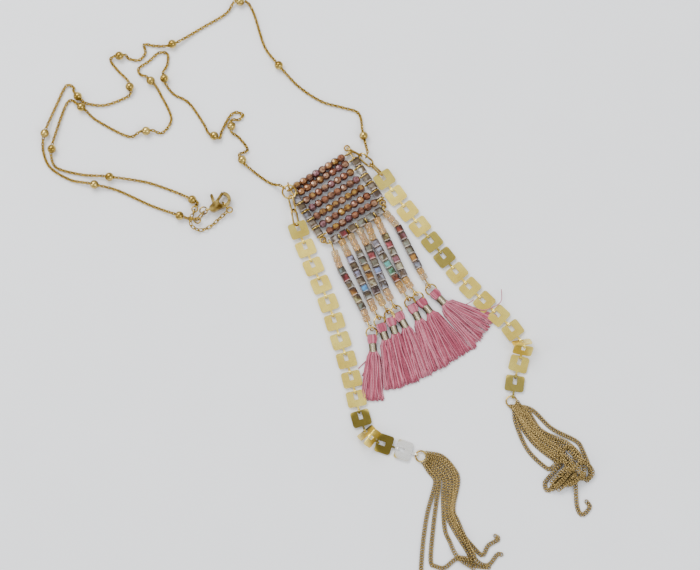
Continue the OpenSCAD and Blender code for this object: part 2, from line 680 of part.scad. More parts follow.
// Wire of one strand, from the eye on the bottom bar to the lower eye
module wire_of_strand(i) {
    color("goldenrod")
        in_layout() {
            translate(in_panel([strand_x(i), bottom_y], mid_z))
                rotate([90, 0, panel_slope + 90])
                wire_ring(strand_eye_r, strand_wire_d);
            way = [strand_start(i), cubes_start(i), cubes_end(i), wire_end(i)];
            swept(way, strand_wire_d, strand_wire_d, wire_sides);
            translate(lower_eye(i))
                rotate([90, 0, strand_form[i][END] - 90])
                wire_ring(lower_eye_r, strand_wire_d);
        }
}

// Ring of one strand, with its wire thicker by grow
module tassel_ring(i, grow) {
    translate(ring_centre(i))
        rotate(strand_form[i][END] - 90)
        rotate([strand_form[i][ROLL], 0, 0])
        wire_ring(tassel_ring_r, tassel_ring_wire + grow);
}

module tassel_rings() {
    color("gold") in_layout() for (i = [0 : strand_count - 1]) tassel_ring(i, 0);
}

module at_tassel(i) {
    in_layout() translate(ring_centre(i)) rotate(strand_form[i][HEAD] - 90) children();
}

// Thread head folded round the ring
module thread_head() {
    start = tassel_ring_r - mid_z;
    skin([
        for (f = head_form)
            cross_ring(start + f[0] * head_len, 0, 0, f[1] * head_w / 2, f[2] * mid_z, head_sides)
    ]);
}

// One lock of the skirt: t runs from -1 to 1 across it
module lock(t, share, hem_w) {
    count = len(lock_len);
    rings = [
        for (f = skirt_form)
            let (
                w = neck_d + f[1] * (hem_w - neck_d),
                pitch = w / count,
                h = f[3] * (f[0] == 0 ? neck_d : skirt_h) / 2
            )
            cross_ring(
                f[0] * share * skirt_len,
                t * (w - pitch) / 2,
                f[0] == 0 ? 0 : h - mid_z,
                f[2] * pitch / 2,
                h * (f[0] == 0 ? sqrt(1.1 - t * t) : 1),
                lock_sides
            )
    ];
    skin(rings);
}

// Thread tassel: head, neck inside the band and fanned skirt
module tassel(i) {
    count = len(lock_len);
    color("palevioletred") {
        difference() {
            at_tassel(i) thread_head();
            in_layout() tassel_ring(i, 2 * clear);
        }
        at_tassel(i) {
            translate([band_x - 2 * clear, 0, 0])
                rotate([0, 90, 0])
                cylinder(h = skirt_x - band_x + 4 * clear, d = neck_d, $fn = head_sides);
            translate([skirt_x, 0, 0])
                rotate(strand_form[i][SKIRT] - strand_form[i][HEAD])
                for (k = [0 : count - 1])
                    lock(2 * k / (count - 1) - 1, lock_len[k], strand_form[i][HEM] * skirt_len);
        }
    }
}

// Wound band round a tassel's neck
module band(i) {
    color("khaki")
        at_tassel(i)
        translate([band_x, 0, 0])
        rotate([0, 90, 0])
        difference() {
            cylinder(h = band_len, d = band_d);
            translate([0, 0, -1]) cylinder(h = band_len + 2, d = band_d - 2 * band_wall);
        }
}

module left_ring() {
    color("gold") in_layout() translate(left_ring_centre) wire_ring(corner_ring_r, link_wire);
}

module left_links() {
    color("goldenrod")
        in_layout() {
            placed_link(left_link_1);
            placed_link(left_link_2);
        }
}

module right_links() {
    color("goldenrod")
        in_layout() {
            placed_link(right_link_1);
            placed_link(right_link_2);
            placed_link(right_link_3);
        }
}

// Plate with its bridge at the origin, a slot below it and a tab folded round the next joint
module plate() {
    back = -bridge / 2;
    eye_x = plate_pitch;
    translate([0, 0, -plate_t / 2])
        linear_extrude(height = plate_t)
        difference() {
            rounded_plate(back);
            translate([bridge / 2, -slot_w / 2]) square([slot_len, slot_w]);
        }
    neck_x = back + plate_h - plate_t;
    neck_run = eye_x - tab_bore / 2 - tab_t / 2 - neck_x;
    translate([neck_x, -tab_w / 2, -tab_t / 2]) cube([neck_run, tab_w, tab_t]);
    translate([eye_x, 0, 0])
        rotate([90, 0, 0])
        difference() {
            cylinder(h = tab_w, r = tab_r, center = true);
            cylinder(h = 2 * tab_w, d = tab_bore, center = true);
        }
}

module rounded_plate(back) {
    translate([back, -plate_w / 2 + plate_r]) square([plate_h, plate_w - 2 * plate_r]);
    translate([back + plate_r, -plate_w / 2]) square([plate_h - 2 * plate_r, plate_w]);
    for (x = [back + plate_r, back + plate_h - plate_r], y = [-1, 1])
        translate([x, y * (plate_w / 2 - plate_r)]) circle(r = plate_r);
}

module plate_chain(form, first) {
    in_layout()
        for (i = [0 : plate_count - 1])
            let (rise = joint_rise(i, first[2]), run = joint_run(i, first[2]))
            translate(joint(form, i, first))
            rotate([0, -atan2(rise, run), form[i][0]])
            rotate([form[i][1], 0, 0])
            plate();
}

module left_plates() {
    color("darkkhaki") plate_chain(left_form, left_first);
}

module right_plates() {
    color("darkkhaki") plate_chain(right_form, right_first);
}

module left_end_ring() {
    color("gold") in_layout() translate(left_end_centre) wire_ring(end_ring_r, end_ring_wire);
}

module right_end_ring() {
    color("gold") in_layout() translate(right_end_centre) wire_ring(end_ring_r, end_ring_wire);
}

// Chain tassel: chains gathered in a head that holds the end ring
module chain_tassel(gather, routes, centre) {
    in_layout() {
        difference() {
            union() {
                translate(gather) sphere(d = gather_d, $fn = head_sides);
                for (k = [0 : len(routes) - 1])
                    swept(fringe_path(gather, routes[k], k), curb_w, curb_t, curb_sides);
            }
            translate(centre) wire_ring(end_ring_r, end_ring_wire + 2 * clear);
        }
    }
}

module left_chain_tassel() {
    color("goldenrod") chain_tassel(left_gather, left_fringe, left_end_centre);
}

module right_chain_tassel() {
    color("goldenrod") chain_tassel(right_gather, right_fringe, right_end_centre);
}

// Ball beads of one run, drilled along the chain
module balls(route) {
    in_layout()
        for (i = [0 : len(route) - 1])
            if (route[i][2] == 1)
                let (d = ball_way(route, i))
                translate(at_height(route[i], ball_d / 2))
                rotate([0, 90, atan2(d[1], d[0])])
                difference() {
                    sphere(d = ball_d);
                    cylinder(h = 2 * ball_d, d = chain_w + bore_play, center = true);
                }
}

module outer_balls() {
    color("gold") balls(outer_route);
}

module inner_balls() {
    color("gold") balls(inner_route);
}

// Upright loop at a point, its plane along the slant
module upright_loop(at, slant) {
    translate(at) rotate([90, 0, slant]) wire_ring(chain_loop_r, chain_loop_wire);
}

module flat_loop(at) {
    translate(at) wire_ring(chain_loop_r, chain_loop_wire);
}

// Run from the right corner to the clasp's base
module outer_chain() {
    start = right_loop_at + chain_loop_r * heading(right_loop_slant);
    end = base_loop_at + chain_loop_r * heading(outer_end_slant);
    color("goldenrod")
        in_layout() {
            upright_loop(right_loop_at, right_loop_slant);
            swept(concat([start], chain_path(outer_route), [end]), chain_w, chain_w, chain_sides);
            flat_loop(base_loop_at);
        }
}

// Run from the left corner's ring to the extender
module inner_chain() {
    start = left_loop_at + chain_loop_r * climb(left_loop_slant, left_loop_dip);
    end = inner_loop_at + chain_loop_r * heading(inner_end_slant);
    color("goldenrod")
        in_layout() {
            upright_loop(left_loop_at, left_loop_slant);
            swept(concat([start], chain_path(inner_route), [end]), chain_w, chain_w, chain_sides);
            flat_loop(inner_loop_at);
        }
}

// Coarser run from the inner chain to the ring in the clasp's jaw
module extender_chain() {
    start = extender_loop_at + chain_loop_r * heading(extender_slant);
    end = jaw_loop_at + chain_loop_r * heading(extender_end_slant);
    color("goldenrod")
        in_layout() {
            upright_loop(extender_loop_at, extender_slant);
            swept(concat([start], extender_route, [end]), extender_w, extender_w, chain_sides);
            flat_loop(jaw_loop_at);
        }
}

module in_clasp() {
    in_layout() translate([clasp_at[0], clasp_at[1], clasp_z]) rotate(clasp_turn) children();
}

// Outline of the clasp's body, open where the lever closes it
module clasp_outline() {
    gate = hook_tip - pivot;
    turn = atan2(gate[1], gate[0]);
    difference() {
        union() {
            translate([bulb_x, 0]) circle(r = bulb_r);
            translate([claw_x, 0]) circle(r = claw_r);
            translate([bulb_x, -bulb_r]) square([claw_x - bulb_x - claw_hole, 2 * bulb_r]);
            spine = [claw_x, 0] + claw_r * turned([1, 0], spine_turn);
            polygon([[bulb_x, 0], [bulb_x, -bulb_r], spine, [claw_x, 0]]);
        }
        translate([claw_x, 0]) circle(r = claw_hole);
        translate(pivot)
            rotate(turn)
            translate([hub_r, -gate_w / 2 - clear])
            square([norm(gate) - hub_r + clear, claw_r]);
    }
}

// Space that the lever's bar sweeps from shut to open
module lever_swing() {
    gate = hook_tip - pivot;
    reach = norm(gate);
    half = gate_w / 2 + clear;
    rotate(atan2(gate[1], gate[0]))
        intersection() {
            circle(r = norm([reach, gate_w / 2]) + clear);
            polygon([
                [0, half],
                [2 * reach, half],
                turned([2 * reach, -half], -lever_open),
                turned([0, -half], -lever_open)
            ]);
        }
}

// Body: bulb, claw, fork with the pin across it, and the eye at its base
module clasp_body() {
    slot = lever_t + 2 * clear;
    color("gold")
        in_clasp() {
            difference() {
                translate([0, 0, -clasp_t / 2]) linear_extrude(height = clasp_t) clasp_outline();
                translate([pivot[0], pivot[1], -slot / 2]) cylinder(h = slot, r = hub_r + 3 * clear);
                translate([pivot[0] - hub_r, pivot[1], -slot / 2]) cube([2 * hub_r + gate_w, claw_r, slot]);
                translate([pivot[0], pivot[1], -slot / 2]) linear_extrude(height = slot) lever_swing();
            }
            translate([pivot[0], pivot[1], -slot]) cylinder(h = 2 * slot, d = pin_d);
            translate([bulb_x, 0, 0])
                rotate(lug_turn)
                translate([lug_out, 0, 0])
                rotate([90, 0, 0])
                wire_ring(lug_r, lug_wire);
        }
}

// Sprung lever: hub on the pin, bar to the hook's tip and a thumb tab
module clasp_lever() {
    gate = hook_tip - pivot;
    turn = atan2(gate[1], gate[0]);
    color("gold")
        in_clasp()
        translate([pivot[0], pivot[1], -lever_t / 2])
        linear_extrude(height = lever_t)
        difference() {
            union() {
                circle(r = hub_r);
                rotate(turn) translate([0, -gate_w / 2]) square([norm(gate), gate_w]);
                rotate(thumb_turn) translate([0, -thumb_w / 2]) square([thumb_reach, thumb_w]);
                rotate(thumb_turn) translate([thumb_reach, 0]) circle(d = thumb_w);
            }
            circle(d = pin_d + 2 * clear);
        }
}

// Small ring on the base, jump ring for the outer run, and the ring in the jaw
module clasp_rings() {
    color("gold")
        in_layout() {
            translate(small_ring_at) wire_ring(small_ring_r, small_ring_wire);
            translate(jump_at) rotate([90, 0, jump_slant]) wire_ring(jump_ring_r, small_ring_wire);
            translate(held_at) rotate([90, 0, held_slant]) wire_ring(held_ring_r, small_ring_wire);
        }
}

module bead_row_1() bead_row(0);
module bead_row_2() bead_row(1);
module bead_row_3() bead_row(2);
module bead_row_4() bead_row(3);
module bead_row_5() bead_row(4);
module bead_row_6() bead_row(5);
module bead_row_7() bead_row(6);
module strand_1_cubes() cubes_of_strand(0);
module strand_2_cubes() cubes_of_strand(1);
module strand_3_cubes() cubes_of_strand(2);
module strand_4_cubes() cubes_of_strand(3);
module strand_5_cubes() cubes_of_strand(4);
module strand_6_cubes() cubes_of_strand(5);
module strand_7_cubes() cubes_of_strand(6);
module strand_1_wire() wire_of_strand(0);
module strand_2_wire() wire_of_strand(1);
module strand_3_wire() wire_of_strand(2);
module strand_4_wire() wire_of_strand(3);
module strand_5_wire() wire_of_strand(4);
module strand_6_wire() wire_of_strand(5);
module strand_7_wire() wire_of_strand(6);
module tassel_1() tassel(0);
module tassel_2() tassel(1);
module tassel_3() tassel(2);
module tassel_4() tassel(3);
module tassel_5() tassel(4);
module tassel_6() tassel(5);
module tassel_7() tassel(6);
module band_1() band(0);
module band_2() band(1);
module band_3() band(2);
module band_4() band(3);
module band_5() band(4);
module band_6() band(5);
module band_7() band(6);

bead_row_1();
bead_row_2();
bead_row_3();
bead_row_4();
bead_row_5();
bead_row_6();
bead_row_7();
row_wires();
bar_wires();
left_bar_cubes();
right_bar_cubes();
bottom_bar_cubes();
strand_1_cubes();
strand_2_cubes();
strand_3_cubes();
strand_4_cubes();
strand_5_cubes();
strand_6_cubes();
strand_7_cubes();
strand_1_wire();
strand_2_wire();
strand_3_wire();
strand_4_wire();
strand_5_wire();
strand_6_wire();
strand_7_wire();
tassel_rings();
tassel_1();
tassel_2();
tassel_3();
tassel_4();
tassel_5();
tassel_6();
tassel_7();
band_1();
band_2();
band_3();
band_4();
band_5();
band_6();
band_7();
left_ring();
left_links();
right_links();
left_plates();
right_plates();
left_end_ring();
right_end_ring();
left_chain_tassel();
right_chain_tassel();
outer_chain();
inner_chain();
outer_balls();
inner_balls();
extender_chain();
clasp_body();
clasp_lever();
clasp_rings();
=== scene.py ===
# %% [markdown]
# # A tassel necklace
# This lesson dresses a packed necklace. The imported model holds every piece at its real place:
# beads, wires, plates, rings and the clasp. Blender adds what is too fine for it, such as chain
# links, threads and the colours of the glass. Every piece made here is built in millimetres and
# turned to metres at the end, so the sizes read like a jeweller's notes.

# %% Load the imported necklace
import math
import random

import bmesh
import bpy
from mathutils import Matrix, Vector


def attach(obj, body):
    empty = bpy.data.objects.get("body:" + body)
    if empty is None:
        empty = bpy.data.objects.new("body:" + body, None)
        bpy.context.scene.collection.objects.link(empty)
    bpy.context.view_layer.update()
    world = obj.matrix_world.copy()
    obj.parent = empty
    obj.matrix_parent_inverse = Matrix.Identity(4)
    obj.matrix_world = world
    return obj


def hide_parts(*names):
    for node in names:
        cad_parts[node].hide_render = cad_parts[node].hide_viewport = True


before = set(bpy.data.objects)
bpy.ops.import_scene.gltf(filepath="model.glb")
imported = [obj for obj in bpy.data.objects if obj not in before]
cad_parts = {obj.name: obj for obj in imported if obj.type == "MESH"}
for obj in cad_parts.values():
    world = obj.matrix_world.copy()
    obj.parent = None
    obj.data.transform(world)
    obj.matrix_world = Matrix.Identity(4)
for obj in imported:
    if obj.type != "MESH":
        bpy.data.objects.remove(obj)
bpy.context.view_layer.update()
BODY = "necklace"
MM = 0.001
UP = Vector((0, 0, 1))
SEED = 7
random.seed(SEED)

# %% [markdown]
# The camera looks down, tipped ten degrees from straight above. A short lens close by could show
# the necklace as large, but a long lens from further back keeps its shape true. The middle of the
# view is a little beside the middle of the necklace, and LAYOUT holds that shift.

# %% Camera
LAYOUT = Vector((15, -1.1, 0))
PHOTO_WIDTH = 700
FOCAL_PIXELS = 2000
SENSOR = 36
TIP = math.radians(10)
DISTANCE = 800


def placed(name, data):
    """A new object of the scene that shows this data."""
    made = bpy.data.objects.new(name, data)
    bpy.context.scene.collection.objects.link(made)
    return made


camera_data = bpy.data.cameras.new("camera")
camera_data.sensor_width = SENSOR
camera_data.lens = FOCAL_PIXELS * SENSOR / PHOTO_WIDTH
camera_data.clip_start = 0.01
camera = placed("camera", camera_data)
camera.location = MM * (LAYOUT + DISTANCE * Vector((0, -math.sin(TIP), math.cos(TIP))))
camera.rotation_euler = (TIP, 0, 0)
bpy.context.scene.camera = camera
print("lens", round(camera_data.lens, 1), "mm")

# %% [markdown]
# Soft light makes metal and glass readable, because they show what is round them more than their
# own colour. Small bright lamps would leave hard dots, so one large window-like panel hangs behind
# and to the left, a smaller one fills from the right, and a narrow strip draws a line along the
# metal. The grey world keeps the far sides of the beads from going black. Spots and sizes are in
# metres, powers in watts.

# %% Floor, lights and world
FLOOR_SIDE = 3
WORLD_TONE = (0.92, 0.94, 0.97, 1)
WORLD_STRENGTH = 0.88


def area_light(name, spot, size, power):
    data = bpy.data.lights.new(name, "AREA")
    data.shape = "RECTANGLE"
    data.size, data.size_y = size
    data.energy = power
    lamp = placed(name, data)
    lamp.location = spot
    lamp.rotation_euler = (-Vector(spot)).to_track_quat("-Z", "Y").to_euler()


area_light("window", (-0.45, 0.75, 1.1), (1.0, 0.7), 19)
area_light("fill", (0.7, -0.5, 0.9), (0.6, 0.6), 5)
area_light("strip", (-0.9, -0.2, 0.6), (0.15, 0.8), 2.5)

world = bpy.data.worlds.new("studio")
world.use_nodes = True
air = world.node_tree.nodes["Background"].inputs
air["Color"].default_value = WORLD_TONE
air["Strength"].default_value = WORLD_STRENGTH
bpy.context.scene.world = world

bm = bmesh.new()
bmesh.ops.create_grid(bm, x_segments=1, y_segments=1, size=FLOOR_SIDE / 2)
floor_mesh = bpy.data.meshes.new("floor")
bm.to_mesh(floor_mesh)
bm.free()
floor = placed("floor", floor_mesh)
print("floor", FLOOR_SIDE, "m square")

# %% [markdown]
# Materials are small sums. They could be wired by hand in the node editor, but a sum is shorter
# and easier to read. `Value` wraps one number socket, and Python's own signs add Math nodes behind
# it, so a twist of thread is written as a formula. Each sign has a second form for a Value on its
# right side, as in 1 - x.


# %% Sums of sockets
class Value:
    """A number socket; an expression on it adds Math nodes."""

    def __init__(self, finish, socket):
        self.finish = finish
        self.socket = socket

    def math(self, operation, *terms):
        sockets = {i: term for i, term in enumerate(terms)}
        return self.finish.node("ShaderNodeMath", {"operation": operation}, sockets)

    def sine(self):
        return self.math("SINE", self)

    def below(self, other):
        return self.math("LESS_THAN", self, other)

    def clamped(self):
        return self.finish.node("ShaderNodeClamp", None, {"Value": self})


SIGNS = {"add": "ADD", "sub": "SUBTRACT", "mul": "MULTIPLY", "truediv": "DIVIDE", "pow": "POWER"}
for sign, operation in SIGNS.items():
    setattr(Value, f"__{sign}__", lambda self, other, kind=operation: self.math(kind, self, other))
    setattr(Value, f"__r{sign}__", lambda self, other, kind=operation: self.math(kind, other, self))
print("a sum may use: + - * / **")

# %% [markdown]
# `Finish` is one material. Its `node` method makes any node from its type, its settings and its
# sockets, and the methods after it name the few nodes that this necklace needs often. Patterns
# read Object coordinates, which are metres on the necklace, so a scale of 1000 is a millimetre.


# %% A finish and its nodes
class Finish:
    """One material and its node tree."""

    def __init__(self, name, **constants):
        self.material = bpy.data.materials.new(name)
        self.material.use_nodes = True
        self.tree = self.material.node_tree
        self.shader = self.tree.nodes["Principled BSDF"]
        self.set(**constants)

    def plug(self, value, socket):
        if isinstance(value, Value):
            self.tree.links.new(value.socket, socket)
        else:
            socket.default_value = value

    def set(self, **sockets):
        for name, value in sockets.items():
            self.plug(value, self.shader.inputs[name.replace("_", " ")])

    def node(self, kind, settings=None, sockets=None, output=0):
        made = self.tree.nodes.new(kind)
        for name, value in (settings or {}).items():
            setattr(made, name, value)
        for name, value in (sockets or {}).items():
            self.plug(value, made.inputs[name])
        return Value(self, made.outputs[output])

    def object_place(self):
        return self.node("ShaderNodeTexCoord", output="Object")

    def noise(self, scale, detail):
        sockets = {"Vector": self.object_place(), "Scale": scale, "Detail": detail}
        return self.node("ShaderNodeTexNoise", None, sockets)

    def blend(self, share, low, high, how="MIX"):
        """A Mix node for colours, whose colour sockets are its inputs 6 and 7 and output 2."""
        settings = {"data_type": "RGBA", "blend_type": how}
        return self.node("ShaderNodeMix", settings, {0: share, 6: low, 7: high}, 2)

    def far_from(self, spot):
        """Distance in metres from a spot of the necklace."""
        sockets = {0: self.object_place(), 1: spot}
        return self.node("ShaderNodeVectorMath", {"operation": "DISTANCE"}, sockets, "Value")

    def tone(self):
        """The colour that a copy carries in its attribute."""
        return self.node("ShaderNodeAttribute", {"attribute_name": "tone"}, output="Color")

    def bump(self, height, strength, distance):
        sockets = {"Height": height, "Strength": strength, "Distance": distance}
        self.set(Normal=self.node("ShaderNodeBump", None, sockets))


def rgb(code):
    """A hex colour as the linear colour that shaders use, by the numbers of the sRGB curve."""
    parts = [int(code[i : i + 2], 16) / 255 for i in (0, 2, 4)]
    return (*[((p + 0.055) / 1.055) ** 2.4 if p > 0.04 else p / 12.92 for p in parts], 1)


print("white is", rgb("ffffff"))

# %% [markdown]
# Most of the necklace is metal. Plated chain is a little satin, while rings and balls are polished.
# Fine noise varies the roughness, because hands and the plating bath never leave metal even. One
# flat gold could serve them all, but the two tones of each are a painted reflection of the dark
# surroundings that small round metal mirrors. Curb chain and foil thread have ridges too fine for
# that, so each of their faces carries its own tone: a painted highlight on top and painted shade
# in a gap.

# %% Metals
METAL_GRAIN = 900
METAL_SCRATCH = 0.02


def metal(name, light, dark, rough, patch):
    """Polished metal: two tones drifting as a painted reflection, with a fine grain in its roughness.
    """
    finish = Finish(name, Metallic=1.0)
    drift = ((finish.noise(patch, 2) - 0.35) * 3).clamped()
    grain = finish.noise(METAL_GRAIN, 3)
    tones = finish.blend(drift, rgb(dark), rgb(light))
    finish.set(Base_Color=tones, Roughness=grain * 0.12 + (rough - 0.06))
    finish.bump(grain, 0.25, METAL_SCRATCH * MM)
    return finish.material


def toned_metal(name, rough, grain, shade):
    """Metal whose copies carry their colour: painted highlight on ridges, painted shade in gaps."""
    finish = Finish(name, Metallic=0.95, Roughness=rough)
    mottle = finish.noise(grain, 3) * 0.6
    finish.set(Base_Color=finish.blend(mottle, finish.tone(), rgb(shade), "MULTIPLY"))
    return finish.material


# Light and dark tone of each metal's painted reflection
gold_wire = metal("gold_wire", "efd27c", "94702c", 0.2, patch=320)
gold_chain = metal("gold_chain", "d0b054", "84641c", 0.25, patch=1500)
gold_ball = metal("gold_ball", "dcc070", "846624", 0.18, patch=380)
clasp_gold = metal("clasp_gold", "dcbe6c", "664816", 0.16, patch=420)
gold_curb = toned_metal("gold_curb", 0.28, 800, "c8b48c")
foil_thread = toned_metal("foil_thread", 0.3, 1500, "b8a47c")
metals = [gold_wire, gold_chain, gold_ball, clasp_gold, gold_curb, foil_thread]
print("metals:", [m.name for m in metals])

# %% [markdown]
# Many pieces are one shape repeated: beads, cubes, links and threads. A thousand objects would be
# slow to handle, so a shape is modelled once with bmesh tools, and `joined` lays its copies out as
# one mesh. A copy's place is a matrix, or a function that bends the shape. Each copy may carry its
# own colours in an attribute called tone, which its material reads.


# %% Pieces from repeated shapes
def rounded(shape, edges, offset, segments):
    """Bevels these edges; with material -1 the new faces keep the finish of their neighbours."""
    bevel = {"offset": offset, "segments": segments, "profile": 0.5, "affect": "EDGES"}
    bmesh.ops.bevel(shape, geom=edges, material=-1, **bevel)


def cylinder(diameter, length, sides, x=0):
    """A closed cylinder along the x axis, with its middle at x."""
    shape = bmesh.new()
    turn = Matrix.Translation((x, 0, 0)) @ Matrix.Rotation(math.pi / 2, 4, "Y")
    size = {"radius1": diameter / 2, "radius2": diameter / 2, "depth": length}
    bmesh.ops.create_cone(shape, cap_ends=True, segments=sides, matrix=turn, **size)
    return shape


def joined(name, shape, places, tones=None):
    """One mesh with a copy of the bmesh shape at each place; tones holds two colours for each."""
    shape.verts.index_update()
    corners = [v.co.copy() for v in shape.verts]
    faces = [[v.index for v in face.verts] for face in shape.faces]
    shade = shape.faces.layers.float.get("shade")
    shades = [face[shade] if shade else 1.0 for face in shape.faces]
    points, polygons, colours = [], [], []
    for k, place in enumerate(places):
        put = place.__matmul__ if isinstance(place, Matrix) else place
        first = len(points)
        points.extend(put(c) for c in corners)
        polygons.extend([first + i for i in face] for face in faces)
        if tones:
            rim, crown = tones[k]
            colours.extend(r + (c - r) * s for s in shades for r, c in zip(rim, crown))
    mesh = bpy.data.meshes.new(name)
    mesh.from_pydata(points, [], polygons)
    if tones:
        mesh.attributes.new("tone", "FLOAT_COLOR", "FACE").data.foreach_set("color", colours)
    round_and_along = shape.loops.layers.uv.get("twist")
    if round_and_along:
        uvs = [x for face in shape.faces for loop in face.loops for x in loop[round_and_along].uv]
        mesh.uv_layers.new(name="twist").data.foreach_set("uv", uvs * len(places))
    return mesh


def new_piece(name, shape, places, material, slot, nodes=(), tones=None, smooth=True):
    """Copies of a shape in millimetres as one piece, with its finish and its body; slot is not used."""
    mesh = joined(name, shape, places, tones)
    mesh.transform(Matrix.Scale(MM, 4))
    mesh.materials.append(material)
    mesh.polygons.foreach_set("use_smooth", [smooth] * len(mesh.polygons))
    piece = placed(name, mesh)
    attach(piece, BODY)
    if nodes:
        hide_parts(*nodes)
    print(f"{name}: {len(mesh.polygons)} faces")


print("new pieces ride on:", BODY)

# %% [markdown]
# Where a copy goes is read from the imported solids, which are already at their real places. Typing
# the places again would drift from them with the first change. A node's mesh is loose triangles,
# so a copy of it is merged first, and then points are followed along their edges to find each
# solid.

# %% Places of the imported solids
WELD = 1e-7


def solids(node):
    """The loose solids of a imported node, each as a list of points in millimetres."""
    bm = bmesh.new()
    bm.from_mesh(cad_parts[node].data)
    bmesh.ops.remove_doubles(bm, verts=bm.verts, dist=WELD)
    left = dict.fromkeys(bm.verts)
    found = []
    while left:
        reached = [left.popitem()[0]]
        for vert in reached:
            for edge in vert.link_edges:
                other = edge.other_vert(vert)
                if other in left:
                    del left[other]
                    reached.append(other)
        found.append([v.co / MM for v in reached])
    bm.free()
    return found


def middle(points):
    low = Vector([min(p[i] for p in points) for i in range(3)])
    high = Vector([max(p[i] for p in points) for i in range(3)])
    return (low + high) / 2


def centres(node, key):
    """Middles of a node's solids, sorted by key."""
    return sorted((middle(s) for s in solids(node)), key=key)


def facing(spot, along, roll=0.0):
    """A place whose x axis runs along a direction, rolled about it."""
    x = along.normalized()
    y = UP.cross(x).normalized()
    turn = Matrix((x, y, x.cross(y))).transposed().to_4x4()
    return Matrix.Translation(spot) @ turn @ Matrix.Rotation(roll, 4, "X")


print("solids in bead_row_1:", len(solids("bead_row_1")))

# %% [markdown]
# Glass beads with a coating show a bright crown where they face the light and a dark rim. The
# shape paints that light on as a shade on each face, from 0 at the rim to 1 at the crown, and each
# copy gives the two colours it runs between: a painted shade for the rim and a painted highlight
# for the crown. Real refraction would need many samples for beads of a few pixels, while this
# look stays with the bead from every side. A clear coat adds the sharp glints.


# %% Glass
def glass(name, rough, coat, cell, shade, deepness, metallic):
    """Coated glass: the copy's own tones, with patches of uneven tint and painted inner reflection."""
    finish = Finish(name, Roughness=rough, Coat_Weight=coat, Coat_Roughness=0.03, Metallic=metallic)
    # Patches of the deeper colour: partly uneven tint, partly painted reflection from inside the glass
    tint_and_reflection_patches = ((finish.noise(cell, 2) - 0.4) * 5).clamped()
    deep = finish.blend(deepness, finish.tone(), rgb(shade), "MULTIPLY")
    finish.set(Base_Color=finish.blend(tint_and_reflection_patches, deep, finish.tone()))
    return finish.material


# The deeper colour of each glass fills its patches of tint and painted inner reflection
rondelle_glass = glass("rondelle_glass", 0.16, 0.28, 900, "8a5438", 0.8, metallic=0.3)
cube_glass = glass("cube_glass", 0.12, 0.45, 480, "866838", 0.95, metallic=0.35)
print("glass:", rondelle_glass.name, cube_glass.name)

# %% [markdown]
# A rondelle is a squat faceted bead. The facets could be cut one by one, but a low sphere with ten
# sides already has them. Flat caps are cut at both ends for the bore, and the faces stay flat so
# that each one glints by itself. Faces that look up get a painted highlight, and those that look
# sideways a painted shade.

# %% Rondelles
ROWS = 7
RONDELLE = Vector((2.95, 3.35, 3.2))
RONDELLE_SIDES, RONDELLE_BANDS = 10, 6
# How far from its middle each cap is cut, in widths of the sphere
CAP = 0.42
RONDELLE_ROLL = 0.3
CROWN_FALL = 4
# Painted shade of each bead's rim, and painted highlight of its crown, which also carries the coating's
# own tint
RONDELLE_SHADED_RIMS = ["52261a", "60301e", "4a2420", "64381e"]
RONDELLE_LIT_CROWNS = ["b98650", "ac724e", "b48a46", "a46446", "b48c6a", "a0727a", "c0963c", "ac7c5e"]
RONDELLE_LIT_CROWNS += ["c49a74"]


def paint_crown_light(shape):
    """Painted light: a shade for each face, higher the more it looks up."""
    layer = shape.faces.layers.float.new("shade")
    shape.normal_update()
    for face in shape.faces:
        face[layer] = max(0, face.normal.z) ** CROWN_FALL


def rondelle():
    shape = bmesh.new()
    sides = {"u_segments": RONDELLE_SIDES, "v_segments": RONDELLE_BANDS}
    bmesh.ops.create_uvsphere(shape, radius=0.5, **sides)
    along_x = Matrix.Rotation(math.pi / 2, 3, "Y")
    bmesh.ops.rotate(shape, cent=(0, 0, 0), matrix=along_x, verts=shape.verts)
    for side in (-1, 1):
        cut = {"plane_co": (side * CAP, 0, 0), "plane_no": (side, 0, 0), "clear_outer": True}
        geometry = shape.verts[:] + shape.edges[:] + shape.faces[:]
        bmesh.ops.bisect_plane(shape, geom=geometry, **cut)
        rim = [e for e in shape.edges if e.is_boundary]
        bmesh.ops.contextual_create(shape, geom=rim)
    bmesh.ops.scale(shape, vec=(RONDELLE.x / (2 * CAP), RONDELLE.y, RONDELLE.z), verts=shape.verts)
    facet_up = Matrix.Rotation(math.pi / RONDELLE_SIDES, 3, "X")
    bmesh.ops.rotate(shape, cent=(0, 0, 0), matrix=facet_up, verts=shape.verts)
    paint_crown_light(shape)
    return shape


for row in range(1, ROWS + 1):
    node = f"bead_row_{row}"
    spots = centres(node, key=lambda p: p.x)
    line = spots[-1] - spots[0]
    tones = [(rgb(random.choice(RONDELLE_SHADED_RIMS)), rgb(random.choice(RONDELLE_LIT_CROWNS))) for _ in spots]
    rolls = [random.uniform(-RONDELLE_ROLL, RONDELLE_ROLL) for _ in spots]
    places = [facing(spot, line, roll) for spot, roll in zip(spots, rolls)]
    name, finish = f"rondelles_{row}", (rondelle_glass, "rondelle_glass")
    new_piece(name, rondelle(), places, *finish, [node], tones, smooth=False)

# %% [markdown]
# Cube beads have a coating that no two share: grey, red, sky blue, green, gold. Drawing tones by
# chance would scatter them, so each string has a chart of its cubes, from its top down or from
# left to right, and names tones of one small palette, as a beader's own chart does.

